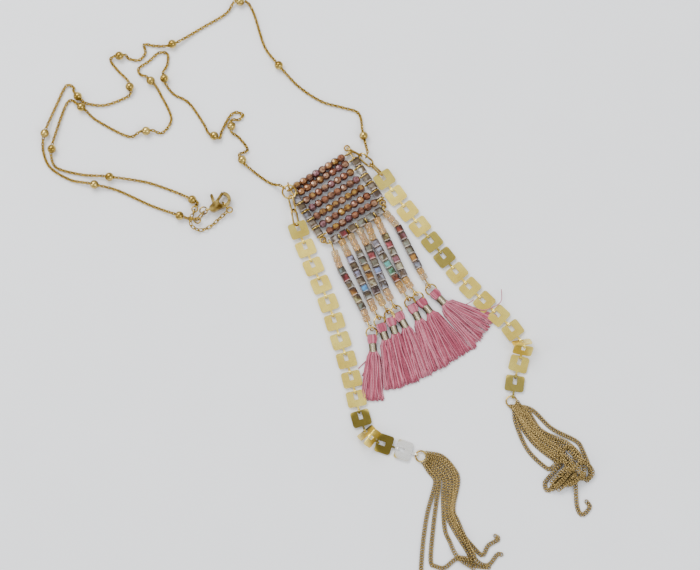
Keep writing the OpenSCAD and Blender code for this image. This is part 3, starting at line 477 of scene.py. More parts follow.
# %% Cube charts
CUBE_TONES = {
    "sky": "4f97cf", "umber": "645842", "green": "5fa183", "sea": "5fb0a6", "plum": "6a5b66",
    "slate": "6e7468", "ash": "8f958f", "dusk": "8c8a96", "mist": "7f9091", "iris": "7f93c4",
    "drab": "888070", "sage": "898c7d", "mauve": "945e6b", "garnet": "923540", "steel": "8e94a4",
    "taupe": "988e7f", "lilac": "a2a4c8", "haze": "a0a4b6", "rust": "9c4a3a", "stone": "a3a496",
    "dove": "a09a9c", "shell": "b3aca8", "olive": "a59e6a", "bronze": "a87834", "rose": "b4505c",
    "brick": "a9614a", "gold": "b08f45", "straw": "b4b090", "silver": "b6bbb8", "pearl": "d5d6cc",
}
STRAND_CHARTS = [
    "mist garnet silver bronze olive slate",
    "lilac umber lilac drab sky ash",
    "silver slate gold bronze straw plum",
    "sage rose sage iris haze steel",
    "dusk haze stone sea green brick",
    "olive rose stone mauve straw dove",
    "rust mauve sage sage bronze steel",
]
BAR_CHARTS = {
    "left_bar_cubes": "haze umber steel taupe drab",
    "right_bar_cubes": "umber pearl drab taupe dusk",
    "bottom_bar_cubes": "shell garnet umber sage ash silver",
}
charts = [chart.split() for chart in (*STRAND_CHARTS, *BAR_CHARTS.values())]
print("charted cubes:", sum(map(len, charts)), "in", len(CUBE_TONES), "tones")

# %% [markdown]
# The cube is bevelled, and a smaller face is inset on every side, so its middle reads as a window
# and its border takes a painted shade, as the edge of thick glass looks darker. Each window is then
# poked into triangles of painted light and shade that differ, as light breaks up in a thick cube.
# Clear glass could do this by itself, but at this size it would only look grey.

# %% Cube beads
CUBE = 3.1
CUBE_BEVEL = 0.3
CUBE_BORDER = 0.4
# Faces larger than this, in square millimetres, are the six sides and not the bevels
FLAT_AREA = 3
# Painted shade of the border: mostly this brown with a share of the coat; the window's painted light is
# the coat made stronger
CUBE_RIM_SHADE = "4a3014"
RIM_SHARE = 0.15
WINDOW_LIGHT_GAIN = 1.1
BORDER_SHADE = 0.1
WINDOW_SHADES = [1.0, 0.75, 0.55, 0.9, 0.35, 1.0, 0.8, 0.6, 0.95, 0.5, 0.7]


def stronger(colour, gain):
    return tuple(gain * c for c in colour)


def mixed(low, high, share):
    return tuple(a + (b - a) * share for a, b in zip(low, high))


def cube_bead():
    shape = bmesh.new()
    bmesh.ops.create_cube(shape, size=CUBE)
    rounded(shape, shape.edges[:], CUBE_BEVEL, 2)
    layer = shape.faces.layers.float.new("shade")
    flats = [f for f in shape.faces if f.calc_area() > FLAT_AREA]
    borders = bmesh.ops.inset_individual(shape, faces=flats, thickness=CUBE_BORDER, depth=-0.05)
    # Painted shade on the borders, and painted light and shade on each window's triangles
    for face in borders["faces"]:
        face[layer] = BORDER_SHADE
    windows = bmesh.ops.poke(shape, faces=flats, offset=0.0)["faces"]
    for k, face in enumerate(windows):
        face[layer] = WINDOW_SHADES[k % len(WINDOW_SHADES)]
    return shape


def cube_string(name, node, chart):
    spots = centres(node, key=lambda p: -p.y if "strand" in node or "side" in name else p.x)
    line = spots[-1] - spots[0]
    coats = [rgb(CUBE_TONES[tone]) for tone in chart.split()]
    tones = [(mixed(rgb(CUBE_RIM_SHADE), coat, RIM_SHARE), stronger(coat, WINDOW_LIGHT_GAIN)) for coat in coats]
    places = [facing(spot, line, random.randrange(4) * math.pi / 2) for spot in spots]
    new_piece(name, cube_bead(), places, cube_glass, "cube_glass", [node], tones, smooth=False)


for strand, chart in enumerate(STRAND_CHARTS, start=1):
    cube_string(f"glass_cubes_{strand}", f"strand_{strand}_cubes", chart)
for node, chart in BAR_CHARTS.items():
    side = "bottom" if "bottom" in node else f"side_{node.split('_')[0]}"
    cube_string(f"glass_cubes_{side}", node, chart)

# %% [markdown]
# Above and below the cubes each strand has short round beads of peach glass, so clear that the
# wire shows through them. They are barrels: a cylinder whose rims are bevelled round, which keeps
# the flat ends that a squashed ball would lose. The strand bends where the cubes end, so both
# slants of each strand are listed, in degrees from straight down.

# %% Peach beads
SHORT_D = 3.05
SHORT_LEN = 2.5
SHORT_GAP = 0.06
SHORT_SIDES = 16
SHORT_BEVEL = 0.5
CUBE_PITCH = 3.25
TOP_SLANT = [18.9, 25.7, 26.3, 26.3, 19.6, 24.9, 40.2]
END_SLANT = [19.5, 23.5, 28.5, 26.0, 31.0, 34.0, 29.0]
SHORT_ABOVE = 3
SHORT_BELOW = 2
PEACH_TONES = ["fbdfa8", "fbdcb4", "f8d28c", "fde8c4", "fad9a6"]

peach = Finish("peach_glass", Roughness=0.08, Coat_Weight=0.5, Transmission_Weight=0.85, IOR=1.45)
peach.set(Base_Color=peach.tone())


def down(slant):
    angle = math.radians(slant)
    return Vector((math.sin(angle), -math.cos(angle), 0))


def short_bead():
    shape = cylinder(SHORT_D, SHORT_LEN - SHORT_GAP, SHORT_SIDES)
    rims = [e for e in shape.edges if abs(e.verts[0].co.x - e.verts[1].co.x) < 0.1]
    rounded(shape, rims, SHORT_BEVEL, 4)
    return shape


places = []
for strand in range(1, len(STRAND_CHARTS) + 1):
    spots = centres(f"strand_{strand}_cubes", key=lambda p: -p.y)
    line = (spots[-1] - spots[0]).normalized()
    top = spots[0] - CUBE_PITCH / 2 * line
    end = spots[-1] + CUBE_PITCH / 2 * line
    above, below = down(TOP_SLANT[strand - 1]), down(END_SLANT[strand - 1])
    for k in range(SHORT_ABOVE):
        places.append(facing(top - (k + 0.5) * SHORT_LEN * above, above))
    for k in range(SHORT_BELOW):
        places.append(facing(end + (k + 0.5) * SHORT_LEN * below, below))
tones = [(rgb(random.choice(PEACH_TONES)),) * 2 for _ in places]
new_piece("peach_beads", short_bead(), places, peach.material, "cube_glass", tones=tones)

# %% [markdown]
# A link is one ring of wire: a small circle spun round, then pulled apart along
# its length. A curve with a round bevel could draw it too, but the spin says exactly how few faces
# a link has, and there are more than a thousand links. In cable chain every second link stands
# across the first, and laid down they lean left and right. In curb chain each link is twisted, so
# it lies flat.


# %% Links
def link(length, width, wire, twist=0.0, steps=12, sides=5):
    """A link lying along x, with its two ends twisted against each other."""
    shape = bmesh.new()
    radius = (width - wire) / 2
    turn = Matrix.Translation((radius, 0, 0)) @ Matrix.Rotation(math.pi / 2, 4, "X")
    bmesh.ops.create_circle(shape, segments=sides, radius=wire / 2, matrix=turn)
    ring = shape.verts[:] + shape.edges[:]
    spin = {"cent": (0, 0, 0), "axis": (0, 0, 1), "angle": math.tau, "steps": steps, "use_merge": True}
    bmesh.ops.spin(shape, geom=ring, **spin)
    stretch = (length - width) / 2
    for vert in shape.verts:
        if abs(vert.co.x) > 1e-4:
            vert.co.x += math.copysign(stretch, vert.co.x)
    for vert in shape.verts:
        vert.co.rotate(Matrix.Rotation(twist * vert.co.x / length, 3, "X"))
    bmesh.ops.recalc_face_normals(shape, faces=shape.faces)
    return shape


print("faces of a link:", len(link(2, 1.3, 0.36).faces))

# %% [markdown]
# Chains and threads follow a way: a smooth line through a few points, kept above the floor and
# walked in equal steps. Blender's own curves could carry an array of links, but a way in Python
# also gives each link its own roll and leaves links out where a ball bead hides them.


# %% Ways
def smooth_way(points, step=0.5):
    """A smooth curve through the points, cut into short steps."""
    ends = [2 * points[0] - points[1], *points, 2 * points[-1] - points[-2]]
    way = []
    for before, a, b, after in zip(ends, ends[1:], ends[2:], ends[3:]):
        count = max(2, round((b - a).length / step))
        for k in range(count):
            t = k / count
            pull = (b - before) * t + (2 * before - 5 * a + 4 * b - after) * t * t
            way.append(a + 0.5 * (pull + (3 * a - before - 3 * b + after) * t**3))
    return [*way, points[-1]]


def above_floor(way, least):
    """The same way, nowhere lower than a piece of this half thickness can lie."""
    return [Vector((p.x, p.y, max(p.z, least))) for p in way]


def way_length(way):
    return sum((b - a).length for a, b in zip(way, way[1:]))


def walk(way, distances):
    """Spots at these distances along a way, each with its direction."""
    found, leg, walked = [], 0, 0.0
    for due in distances:
        run = way[leg + 1] - way[leg]
        while leg < len(way) - 2 and walked + run.length < due:
            walked += run.length
            leg += 1
            run = way[leg + 1] - way[leg]
        found.append((way[leg] + (due - walked) * run.normalized(), run.normalized()))
    return found


def stations(way, pitch):
    """Spots about one pitch apart, the first and last half a pitch inside the ends."""
    count = max(1, round(way_length(way) / pitch))
    pitch = way_length(way) / count
    return walk(way, [(k + 0.5) * pitch for k in range(count)])


print("steps of a 10 mm way:", len(smooth_way([Vector((0, 0, 0)), Vector((10, 0, 0))])) - 1)

# %% [markdown]
# The neck chain runs from the right corner over the top to the clasp, and from the left corner to
# a coarser extender. Its routes are the rounded points along which the necklace was laid, in
# millimetres. A 1 marks a ball bead, which lifts the chain to its own middle. A simulated chain
# would lie as loosely, but not in the real one's curls.

# %% Neck chain routes
CHAIN_W = 1.3
BALL_D = 3.6
BALL_REACH = BALL_D / 2 + 0.5
OUTER_ROUTE = [
    (5.5, 61, 1), (3.5, 70.5), (-3, 73), (-11.5, 75.5), (-20.5, 81.5), (-29, 90.5, 1), (-35, 99),
    (-39.5, 113), (-45, 117.5, 1), (-51, 112.5), (-61.5, 106), (-72.5, 99.5, 1), (-80, 99),
    (-84, 99.5), (-83.5, 96), (-86, 93), (-90, 93.5), (-94, 94.5, 1), (-97.5, 92.5), (-94.5, 88.5),
    (-89.5, 81.5, 1), (-91.5, 77), (-99.5, 74), (-106, 74.5), (-110.5, 77.5, 1), (-112.5, 81.5),
    (-115.5, 82), (-119, 74.5), (-123.5, 62, 1), (-124, 54.5), (-121, 48), (-113, 43),
    (-103, 40.8, 1), (-93.5, 38.5), (-80.5, 32.5), (-68.5, 28, 1), (-64.5, 27),
]
INNER_ROUTE = [
    (-33, 42), (-43.5, 51, 1), (-41.5, 55.5), (-45, 60.5), (-48, 65, 1), (-45, 68), (-43.5, 70),
    (-46.5, 71), (-49, 69), (-52, 63), (-55, 61, 1), (-59.5, 66.5), (-65.5, 75), (-71.5, 78.5),
    (-75.5, 85, 1), (-74.5, 91), (-74.5, 95.5), (-78, 96), (-82, 92.5), (-86, 89.5), (-85.5, 87),
    (-81, 84, 1), (-77, 78.5), (-72.5, 68.5), (-76, 62.5), (-82.5, 63, 1), (-90, 61),
    (-102.5, 67.5), (-109, 73, 1), (-113.5, 76), (-116, 72.5), (-120.5, 55.5, 1), (-118.5, 48),
    (-109, 45.2), (-97, 44, 1), (-82.5, 42), (-72, 38.5), (-63.5, 34.6, 1), (-61.4, 33.2),
]
EXTENDER_ROUTE = [
    (-64, 26.9, 2.7), (-63.4, 23.6, 2.4), (-60, 22.2, 1.1), (-56, 23.8, 0.9), (-53, 26.4, 1),
]


def heading(slant):
    angle = math.radians(slant)
    return Vector((math.cos(angle), math.sin(angle), 0))


def chain_points(route):
    """Along the surface at the chain's half width, and straight through each ball's middle."""
    points, balls = [], []
    for k, (x, y, *ball) in enumerate(route):
        spot = LAYOUT + Vector((x, y, BALL_D / 2 if ball else CHAIN_W / 2))
        if not ball:
            points.append(spot)
            continue
        before, after = route[max(k - 1, 0)], route[min(k + 1, len(route) - 1)]
        along = Vector((after[0] - before[0], after[1] - before[1], 0)).normalized()
        points += [spot - BALL_REACH * along, spot + BALL_REACH * along]
        balls.append(spot)
    return points, balls


print("balls:", len(chain_points(OUTER_ROUTE)[1]), "and", len(chain_points(INNER_ROUTE)[1]))

# %% [markdown]
# Each run ends in a round loop that holds its neighbour: a link or ring at a corner of the panel,
# a jump ring at the clasp. A loop could be a plain ring, but the same spun link does it, as wide
# as it is long, either flat or upright. The ends of a run start at the far side of their loops.

# %% Neck chain links
# Length, width and wire of a link
FINE_LINK = (2.1, 1.55, 0.5)
COARSE_LINK = (2.7, 1.8, 0.5)
LEAN = math.radians(45)
LOOP_D = 2.9
LOOP_WIRE = 0.6
LOOP_R = (LOOP_D - LOOP_WIRE) / 2
LOOP_FACES = {"steps": 20, "sides": 10}
FLAT = 0.0
UPRIGHT = math.pi / 2
RIGHT_LOOP = (Vector((21.75, 51.43, 3.11)), heading(70), UPRIGHT)
LEFT_LOOP = (Vector((-11.81, 38.08, 3.72)), heading(142), UPRIGHT)
BASE_LOOP = (Vector((-46.25, 25, 1.2)), heading(150), FLAT)
INNER_LOOP = (Vector((-47.4, 29.6, 1.6)), heading(75), FLAT)
EXTENDER_LOOP = (Vector((-47.73, 28.37, 1.8)), heading(-105), UPRIGHT)
JAW_LOOP = (Vector((-33.39, 29.13, 2.2)), heading(-145), FLAT)


def loop_edge(loop):
    spot, along, _ = loop
    return spot + LOOP_R * along


def cable_chain(name, node, loops, points, balls, size):
    """Links that lean left and right in turn, left out where a ball hides them."""
    length, width, wire = size
    way = smooth_way([loop_edge(loops[0]), *points, loop_edge(loops[1])])
    way = above_floor(way, width / 2)
    places = []
    for k, (spot, along) in enumerate(stations(way, length - 2 * wire)):
        if all((spot - ball).length > BALL_D / 2 - wire for ball in balls):
            places.append(facing(spot, along, LEAN if k % 2 else -LEAN))
    new_piece(name, link(*size), places, gold_chain, "gold_chain", [node])
    ring = link(LOOP_D, LOOP_D, LOOP_WIRE, **LOOP_FACES)
    new_piece(f"{name}_loops", ring, [facing(*loop) for loop in loops], gold_chain, "gold_chain")
    print(f"{name}: {way_length(way):.0f} mm, {len(places)} links")


outer, inner = chain_points(OUTER_ROUTE), chain_points(INNER_ROUTE)
extender = [LAYOUT + Vector(p) for p in EXTENDER_ROUTE]
cable_chain("outer_run", "outer_chain", (RIGHT_LOOP, BASE_LOOP), *outer, FINE_LINK)
cable_chain("inner_run", "inner_chain", (LEFT_LOOP, INNER_LOOP), *inner, FINE_LINK)
cable_chain("extender_run", "extender_chain", (EXTENDER_LOOP, JAW_LOOP), extender, [], COARSE_LINK)

# %% [markdown]
# A chain tassel is a bunch of thin curb chains on one ring. They lie loosely, and where they cross,
# a point has a third number that counts the chains beneath. A physics run could heap them too, but
# not as they lie on the real one.

# %% Curb chain routes
LEFT_FRINGE = [
    [(31, -74.5), (33.5, -78), (32.5, -83), (30.5, -90), (29, -98.5), (28, -108), (27.5, -117)],
    [(32, -74), (35, -78), (34, -85.5), (32.5, -97), (31.5, -109.5), (33.5, -111.5), (37, -112),
     (42, -108.5), (48.5, -110, 1)],
    [(33.5, -73), (37, -78), (36.5, -84.5), (37, -96.5), (39, -102), (42, -108, 1), (48.5, -112.5)],
    [(34.5, -72), (38.5, -78), (38, -90.5), (40.5, -97), (46, -106), (48.5, -111), (54.5, -112)],
    [(36, -71.5), (40, -78), (39.5, -90.5), (42, -96.5), (49.5, -105.5), (52, -107), (54, -103.5),
     (58, -101), (56.5, -99.5)],
    [(37.5, -70.5), (41.5, -77.5), (40, -90.5), (44, -99.5), (48.5, -108, 1), (45, -108.5, 2),
     (42, -108, 2)],
    [(36, -68.5), (40.5, -73), (42.5, -78), (40.5, -89), (42.5, -94.5), (47, -105.5, 2),
     (50, -110, 1), (54, -111), (57.5, -107), (59.5, -107)],
]
RIGHT_FRINGE = [
    [(71.5, -50), (79.5, -57.5), (89, -62.5), (91.5, -66), (94.5, -74.5), (93, -78.5)],
    [(70, -52), (72.5, -56), (81, -62), (86, -64, 1), (91.5, -71, 1), (91.5, -77, 1),
     (88.2, -76.3, 2), (84.5, -79.7, 2), (81.5, -82, 1)],
    [(69, -54.5), (72, -58), (82.5, -66), (85.5, -65, 2), (88.5, -67.5, 2), (86, -77, 1),
     (83.5, -80)],
    [(68, -54.5), (73.5, -63), (81, -69), (84, -68.5, 1), (88, -76.5, 1), (89, -88), (91, -91.5),
     (94, -88.5), (92.5, -86)],
    [(65.5, -55.5), (70, -66), (77, -73), (79.5, -73), (82.5, -70.5, 2), (88, -73.5, 2),
     (87.5, -78, 2)],
    [(67, -55.5), (73, -64), (80.5, -70), (83, -71.5, 1), (78, -77), (76.5, -79.5), (78, -82),
     (83.5, -76.5, 2)],
    [(70, -50.5), (75.5, -58.5), (85, -63, 1), (90.5, -69, 2), (89.5, -74.5, 3), (91.5, -76, 3),
     (88.6, -78.4, 3), (85.3, -80.1, 2), (82.9, -78, 2), (84, -74.5, 3), (88.6, -73.5, 3)],
    [(67.5, -54), (73, -62), (80, -67.5), (83, -68.5, 1), (85, -73, 3), (82.5, -76.5, 3),
     (86, -79.5, 1), (89.5, -77.5, 2), (93.5, -77.5, 1), (95.3, -75, 1), (93, -71.8, 3),
     (89.4, -69.7, 3), (86.1, -66.6, 2)],
    [(68.5, -54.5), (73, -60.5), (81.5, -66.5), (84.5, -68, 1), (87, -71.5, 2), (84, -74.5, 1),
     (80.5, -79, 1), (79, -81.5, 1), (81.5, -80.5, 1), (85, -76, 2), (87, -79, 1)],
    [(69.5, -52.5), (74, -59), (83, -64.5), (88, -66.5, 2), (90.5, -70.5, 3), (86.5, -74.5, 3),
     (83.5, -78, 3), (80.5, -80.5, 2), (79, -79, 2), (83, -75, 3), (87.5, -71.5, 3)],
]
print("curb chains:", len(LEFT_FRINGE), "and", len(RIGHT_FRINGE))

# %% [markdown]
# Curb chain is cable chain whose links are twisted and pressed flat, so they lap like scales. The
# links lie closer together than they are long, and each carries painted light, a painted highlight
# on its crown and painted shade at its sides, so even a thin chain shows its scales. A braided
# pattern on a flat ribbon would look right only from above.

# %% Curb chain tassels
CURB_LEN, CURB_W, CURB_WIRE = 2.0, 1.9, 0.46
CURB_TWIST = math.radians(55)
CURB_PITCH = 1.05
# Thickness of a chain, the rise from one chain to the next on it, and the room under the lowest
CURB_T, CURB_STEP, CURB_PLAY = 1.0, 1.06, 0.05
# Painted shade in the gaps and painted highlight on the crowns of the links
CURB_SHADE_AND_HIGHLIGHT = ("3e2a0e", "e2c684")
END_RING_R = 2.1
# The chains start over this many degrees of the ring, every second one higher
FAN = 110
START_LIFTS = (-0.1, 0.5)


def curb_tassel(name, node, ring, slant, fringe):
    """Curb chains that start side by side round the far half of the end ring."""
    places = []
    for k, route in enumerate(fringe):
        share = k / (len(fringe) - 1) - 0.5
        start = ring + END_RING_R * heading(slant + FAN * share) + START_LIFTS[k % 2] * UP
        points = []
        for x, y, *under in route:
            points.append(LAYOUT + Vector((x, y, CURB_T / 2 + CURB_PLAY + sum(under) * CURB_STEP)))
        way = above_floor(smooth_way([start, *points]), CURB_T / 2)
        places += [facing(spot, along) for spot, along in stations(way, CURB_PITCH)]
    shape = link(CURB_LEN, CURB_W, CURB_WIRE, CURB_TWIST)
    paint_crown_light(shape)
    tones = [tuple(map(rgb, CURB_SHADE_AND_HIGHLIGHT))] * len(places)
    new_piece(name, shape, places, gold_curb, "gold_chain", [node], tones)
    print(f"{name}: {len(places)} links")


curb_tassel("curb_tassel_left", "left_chain_tassel", Vector((42.94, -69.72, 0.95)), -15, LEFT_FRINGE)
curb_tassel("curb_tassel_right", "right_chain_tassel", Vector((78.85, -47.98, 0.95)), -55, RIGHT_FRINGE)

# %% [markdown]
# Rose thread is cotton floss: yarns twisted together, soft and a little shiny. Its finish follows
# each thread by the twist layer that the tube shape carries, which holds the way round it and the
# way along it. A pattern on Object coordinates would lie across the threads like paint, while this
# twist climbs every thread and turns with it.

# %% Rose thread
YARNS, TWISTS = 2, 18
# Each pair is a thread's painted shade below and painted highlight on top; which pair it takes is drawn
# by chance
THREAD_SHADED_AND_LIT = [
    ("84243e", "d6667f"), ("9a3450", "e07c92"), ("6e1a32", "c4546e"), ("a8425a", "ee96a8"),
]


def thread_finish():
    finish = Finish("rose_thread", Roughness=0.7, Sheen_Weight=0.06, Sheen_Roughness=0.4)
    layer = finish.node("ShaderNodeUVMap", {"uv_map": "twist"})
    around = finish.node("ShaderNodeSeparateXYZ", None, {"Vector": layer}, "X")
    along = finish.node("ShaderNodeSeparateXYZ", None, {"Vector": layer}, "Y")
    twist = ((around * YARNS + along * TWISTS) * math.tau).sine() * 0.5 + 0.5
    # Painted shade: where the twist runs low between the yarns, the thread is darker
    groove_shade = finish.blend(twist, rgb("a8a8a8"), rgb("ffffff"))
    mottled = finish.blend(finish.noise(500, 3), rgb("9c9c9c"), rgb("ffffff"))
    threads = finish.blend(0.5, finish.tone(), groove_shade, "MULTIPLY")
    finish.set(Base_Color=finish.blend(0.6, threads, mottled, "MULTIPLY"))
    finish.bump(twist, 0.6, 0.04 * MM)
    return finish.material


rose_thread = thread_finish()


def thread_tones(count):
    return [tuple(map(rgb, random.choice(THREAD_SHADED_AND_LIT))) for _ in range(count)]


print("thread:", rose_thread.name, "in", len(THREAD_SHADED_AND_LIT), "tones")

# %% [markdown]
# A thread's shape is a straight tube that `joined` bends along each thread's own way. It is a
# closed cylinder, cut into rings across its length. A bevelled curve for each thread would bend
# more smoothly, but hundreds of curves are slow, and this one tube also carries its twist layer.

# %% Thread tubes
THREAD_D = 0.42
THREAD_RINGS = 12
THREAD_SIDES = 6


def tube(rings, diameter):
    """A tube along x from 0 to 1, cut into rings, to be bent along a way."""
    shape = cylinder(diameter, 1, THREAD_SIDES, x=0.5)
    for k in range(1, rings):
        whole = shape.verts[:] + shape.edges[:] + shape.faces[:]
        bmesh.ops.bisect_plane(shape, geom=whole, plane_co=(k / rings, 0, 0), plane_no=(1, 0, 0))
    layer = shape.loops.layers.uv.new("twist")
    shade = shape.faces.layers.float.new("shade")
    shape.normal_update()
    for face in shape.faces:
        spot = face.calc_center_median()
        # Painted light: a face is lighter the more it looks up, so a thread is lit on top and shaded
        # below
        face[shade] = 0.5 + 0.5 * face.normal.z
        middle_turn = math.atan2(spot.z, spot.y)
        for loop in face.loops:
            point = loop.vert.co
            turned = math.atan2(point.z, point.y) - middle_turn
            turned = (turned + math.pi) % math.tau - math.pi
            loop[layer].uv = ((middle_turn + turned) / math.tau, point.x)
    return shape


def bent(way, rings):
    """A function that lays the tube's rings along a way."""
    length = way_length(way)
    frames = []
    for spot, along in walk(way, [k / rings * length for k in range(rings + 1)]):
        side = UP.cross(along)
        side = side.normalized() if side.length > 0.01 else Vector((0, 1, 0))
        frames.append((spot, side, along.cross(side)))

    def put(corner):
        spot, side, up = frames[round(corner.x * rings)]
        return spot + corner.y * side + corner.z * up

    return put


print("faces of a thread:", len(tube(THREAD_RINGS, THREAD_D).faces))

# %% [markdown]
# A thread tassel is a bundle folded over its ring, bound below the fold, and cut straight at the
# hem. Each tassel lies its own way, so the slants of its head and skirt, in degrees from straight
# down, and its length and the width of its hem are listed. The other sizes are shared. MID_Z is
# the height of the ring's middle over the floor.

# %% Tassel sizes
TASSELS = 7
HEAD_SLANT = [5, 19, 18, 29, 26, 38, 43]
SKIRT_SLANT = [-2, 9, 15, 18, 22, 31, 55]
HEM_SHARE = [0.48, 0.42, 0.38, 0.4, 0.42, 0.6, 0.86]
MID_Z = 1.6
BAND_X, BAND_LEN, BAND_D = 4.47, 3.5, 3.2
SKIRT_X = 8.33
SKIRT_LEN = [18.6, 19, 20, 20.3, 20.6, 20.6, 19.4]
NECK_R = 1.05
ROOT_R, ROOT_HALF = 1.5, 1.95
HEAD_START, HEAD_END, HEAD_HALF = 0.55, 4.5, 2.2
# Place along the skirt, share of the way from neck to hem in width, height
SKIRT_FORM = [(0.06, 0.2, 2.9), (0.35, 0.46, 2.6), (0.7, 0.76, 2.1), (1.0, 1.0, 1.3)]


def tassel_origin(k):
    """Middle of the tassel's ring, found from its band."""
    return middle(solids(f"band_{k + 1}")[0]) - (BAND_X + BAND_LEN / 2) * down(HEAD_SLANT[k])


def on_tassel(k, slant, x, y, z):
    along = down(slant)
    return x * along + y * UP.cross(along) + Vector((0, 0, z))


print("origin of tassel 1:", tassel_origin(0))

# %% [markdown]
# The skirt is made of threads that leave the binding and fan out flat on the floor, and the head
# of loops that go over the ring's wire. Hair particles could fill such a bundle, but they would not
# go through the binding or over the ring, so each thread is a way of its own, with small strays by
# chance. Steps of the golden share spread the threads evenly over the width.

# %% Tassel skirts and heads
SKIRT_THREADS = 88
GOLDEN = 0.618034
REACH = (0.96, 1.02)
STRAY = 0.18
UNEVEN = 0.1
LOOP_STRAY = 0.05
# Depth of each layer of the head's loops and how many it has
HEAD_LAYERS = [(1.0, 10), (0.78, 8), (0.55, 6)]


def skirt_way(k, across, height):
    """One thread: across runs from -1 to 1, height from 0 at the floor to 1 on top."""
    origin = tassel_origin(k)
    edge = math.sqrt(max(0, 1 - across * across))
    z = (2 * height - 1) * NECK_R * edge
    points = [origin + on_tassel(k, HEAD_SLANT[k], BAND_X + 2, across * NECK_R, z)]
    root = origin + on_tassel(k, HEAD_SLANT[k], SKIRT_X, 0, 0)
    points.append(root + on_tassel(k, SKIRT_SLANT[k], 0.3, across * ROOT_HALF, z * ROOT_R / NECK_R))
    hem = HEM_SHARE[k] * SKIRT_LEN[k] / 2
    reach = SKIRT_LEN[k] * random.uniform(*REACH)
    for place, share, tall in SKIRT_FORM:
        stray = random.gauss(0, STRAY) * (1 + place)
        half = ROOT_HALF + share * (hem - ROOT_HALF)
        top = tall * (0.45 + 0.55 * edge) - THREAD_D
        z = THREAD_D / 2 - MID_Z + max(0.0, height * top + random.uniform(-UNEVEN, UNEVEN))
        points.append(root + on_tassel(k, SKIRT_SLANT[k], place * reach, across * half + stray, z))
    return above_floor(smooth_way(points, 1), THREAD_D / 2)


def head_way(k, across, depth):
    """One loop over the ring's wire: depth 1 lies outside, smaller ones inside."""
    # Place along the head, height and share of the width, up to the fold and then back
    outline = [(1, -0.62, 0.55), (0.72, -0.92, 0.9), (0.4, -0.98, 1), (0.12, -0.6, 0.9), (0, 0, 0.8)]
    outline += [(x, -z, y) for x, z, y in reversed(outline[:-1])]
    points = []
    for x, z, y in outline:
        x = HEAD_START + (1 - depth) * 0.8 + THREAD_D / 2 + x * (HEAD_END - HEAD_START)
        half = math.sqrt(1 - 0.55 * across * across)
        spread = across * y * (HEAD_HALF - THREAD_D / 2) + random.uniform(-LOOP_STRAY, LOOP_STRAY)
        z = z * half * depth * (MID_Z - THREAD_D / 2)
        points.append(tassel_origin(k) + on_tassel(k, HEAD_SLANT[k], x, spread, z))
    return smooth_way(points)


for k in range(TASSELS):
    name = f"thread_tassel_{k + 1}"
    ways = []
    for n in range(SKIRT_THREADS):
        across = 2 * ((n * GOLDEN) % 1) - 1
        ways.append(skirt_way(k, across, (n + 0.5) / SKIRT_THREADS))
    for depth, count in HEAD_LAYERS:
        ways += [head_way(k, 2 * (n + 0.5) / count - 1, depth) for n in range(count)]
    places = [bent(way, THREAD_RINGS) for way in ways]
    thread, tones = tube(THREAD_RINGS, THREAD_D), thread_tones(len(ways))
    new_piece(name, thread, places, rose_thread, "rose_thread", [f"tassel_{k + 1}"], tones)

# %% [markdown]
# Each tassel is bound with metallic foil thread, whose turns lie side by side as round ridges. A
# screw would draw one endless thread, but its slant is too small to see, so the ridges are drawn
# as the profile of a lathe, and a full spin makes the whole binding at once. Its faces carry painted
# light, a highlight where they look up and shade at the sides.

# %% Bound necks
TURNS = 9
RIDGE = 0.12
RIDGE_DEGREES = 30
BINDING_SIDES = 24
# Painted shade at the binding's sides and painted highlight on top
FOIL_SHADE_AND_HIGHLIGHT = ("5e4c26", "f6eed6")


def binding():
    shape = bmesh.new()
    radius, pitch = BAND_D / 2, BAND_LEN / TURNS
    profile = [Vector((-BAND_LEN / 2, 0, NECK_R))]
    for turn in range(TURNS):
        for angle in range(0, 180, RIDGE_DEGREES):
            swell = math.sin(math.radians(angle))
            x = -BAND_LEN / 2 + (turn + angle / 180) * pitch
            profile.append(Vector((x, 0, radius - RIDGE + RIDGE * swell)))
    profile += [Vector((BAND_LEN / 2, 0, radius - RIDGE)), Vector((BAND_LEN / 2, 0, NECK_R))]
    verts = [shape.verts.new(p) for p in profile]
    edges = [shape.edges.new(pair) for pair in zip(verts, verts[1:])]
    spin = {"cent": (0, 0, 0), "axis": (1, 0, 0), "angle": math.tau, "use_merge": True}
    bmesh.ops.spin(shape, geom=verts + edges, steps=BINDING_SIDES, **spin)
    bmesh.ops.remove_doubles(shape, verts=shape.verts, dist=1e-4)
    bmesh.ops.recalc_face_normals(shape, faces=shape.faces)
    paint_crown_light(shape)
    return shape


for k in range(TASSELS):
    name = f"binding_{k + 1}"
    place = facing(middle(solids(f"band_{k + 1}")[0]), down(HEAD_SLANT[k]))
    tones = [tuple(map(rgb, FOIL_SHADE_AND_HIGHLIGHT))]
    new_piece(name, binding(), [place], foil_thread, "band_thread", [f"band_{k + 1}"], tones)

# %% [markdown]
# The wire of every bead row is turned into an eye round the side bar at both ends. The eyes stand
# on edge, so from above they are short bright bars beside the last bead. Making the whole wires
# anew would show no more, so a longer upright link is laid over each packed eye, placed from the
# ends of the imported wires.

# %% Row eyes
EYE_LEN, EYE_W, EYE_WIRE = 4.3, 2.7, 0.5
EYE_IN = 1.8

eyes = []
for wire in sorted(solids("row_wires"), key=lambda wire: middle(wire).y):
    low, high = min(wire, key=lambda p: (p.x, p.y)), max(wire, key=lambda p: (p.x, p.y))
    along = Vector((high.x - low.x, high.y - low.y, 0)).normalized()
    level = middle(wire).z
    for end, way_in in ((low, along), (high, -along)):
        eyes.append(facing(Vector((end.x, end.y, level)) + EYE_IN * way_in, way_in, UPRIGHT))
eye = link(EYE_LEN, EYE_W, EYE_WIRE, steps=16, sides=8)
new_piece("row_eyes", eye, eyes, gold_wire, "gold_wire")

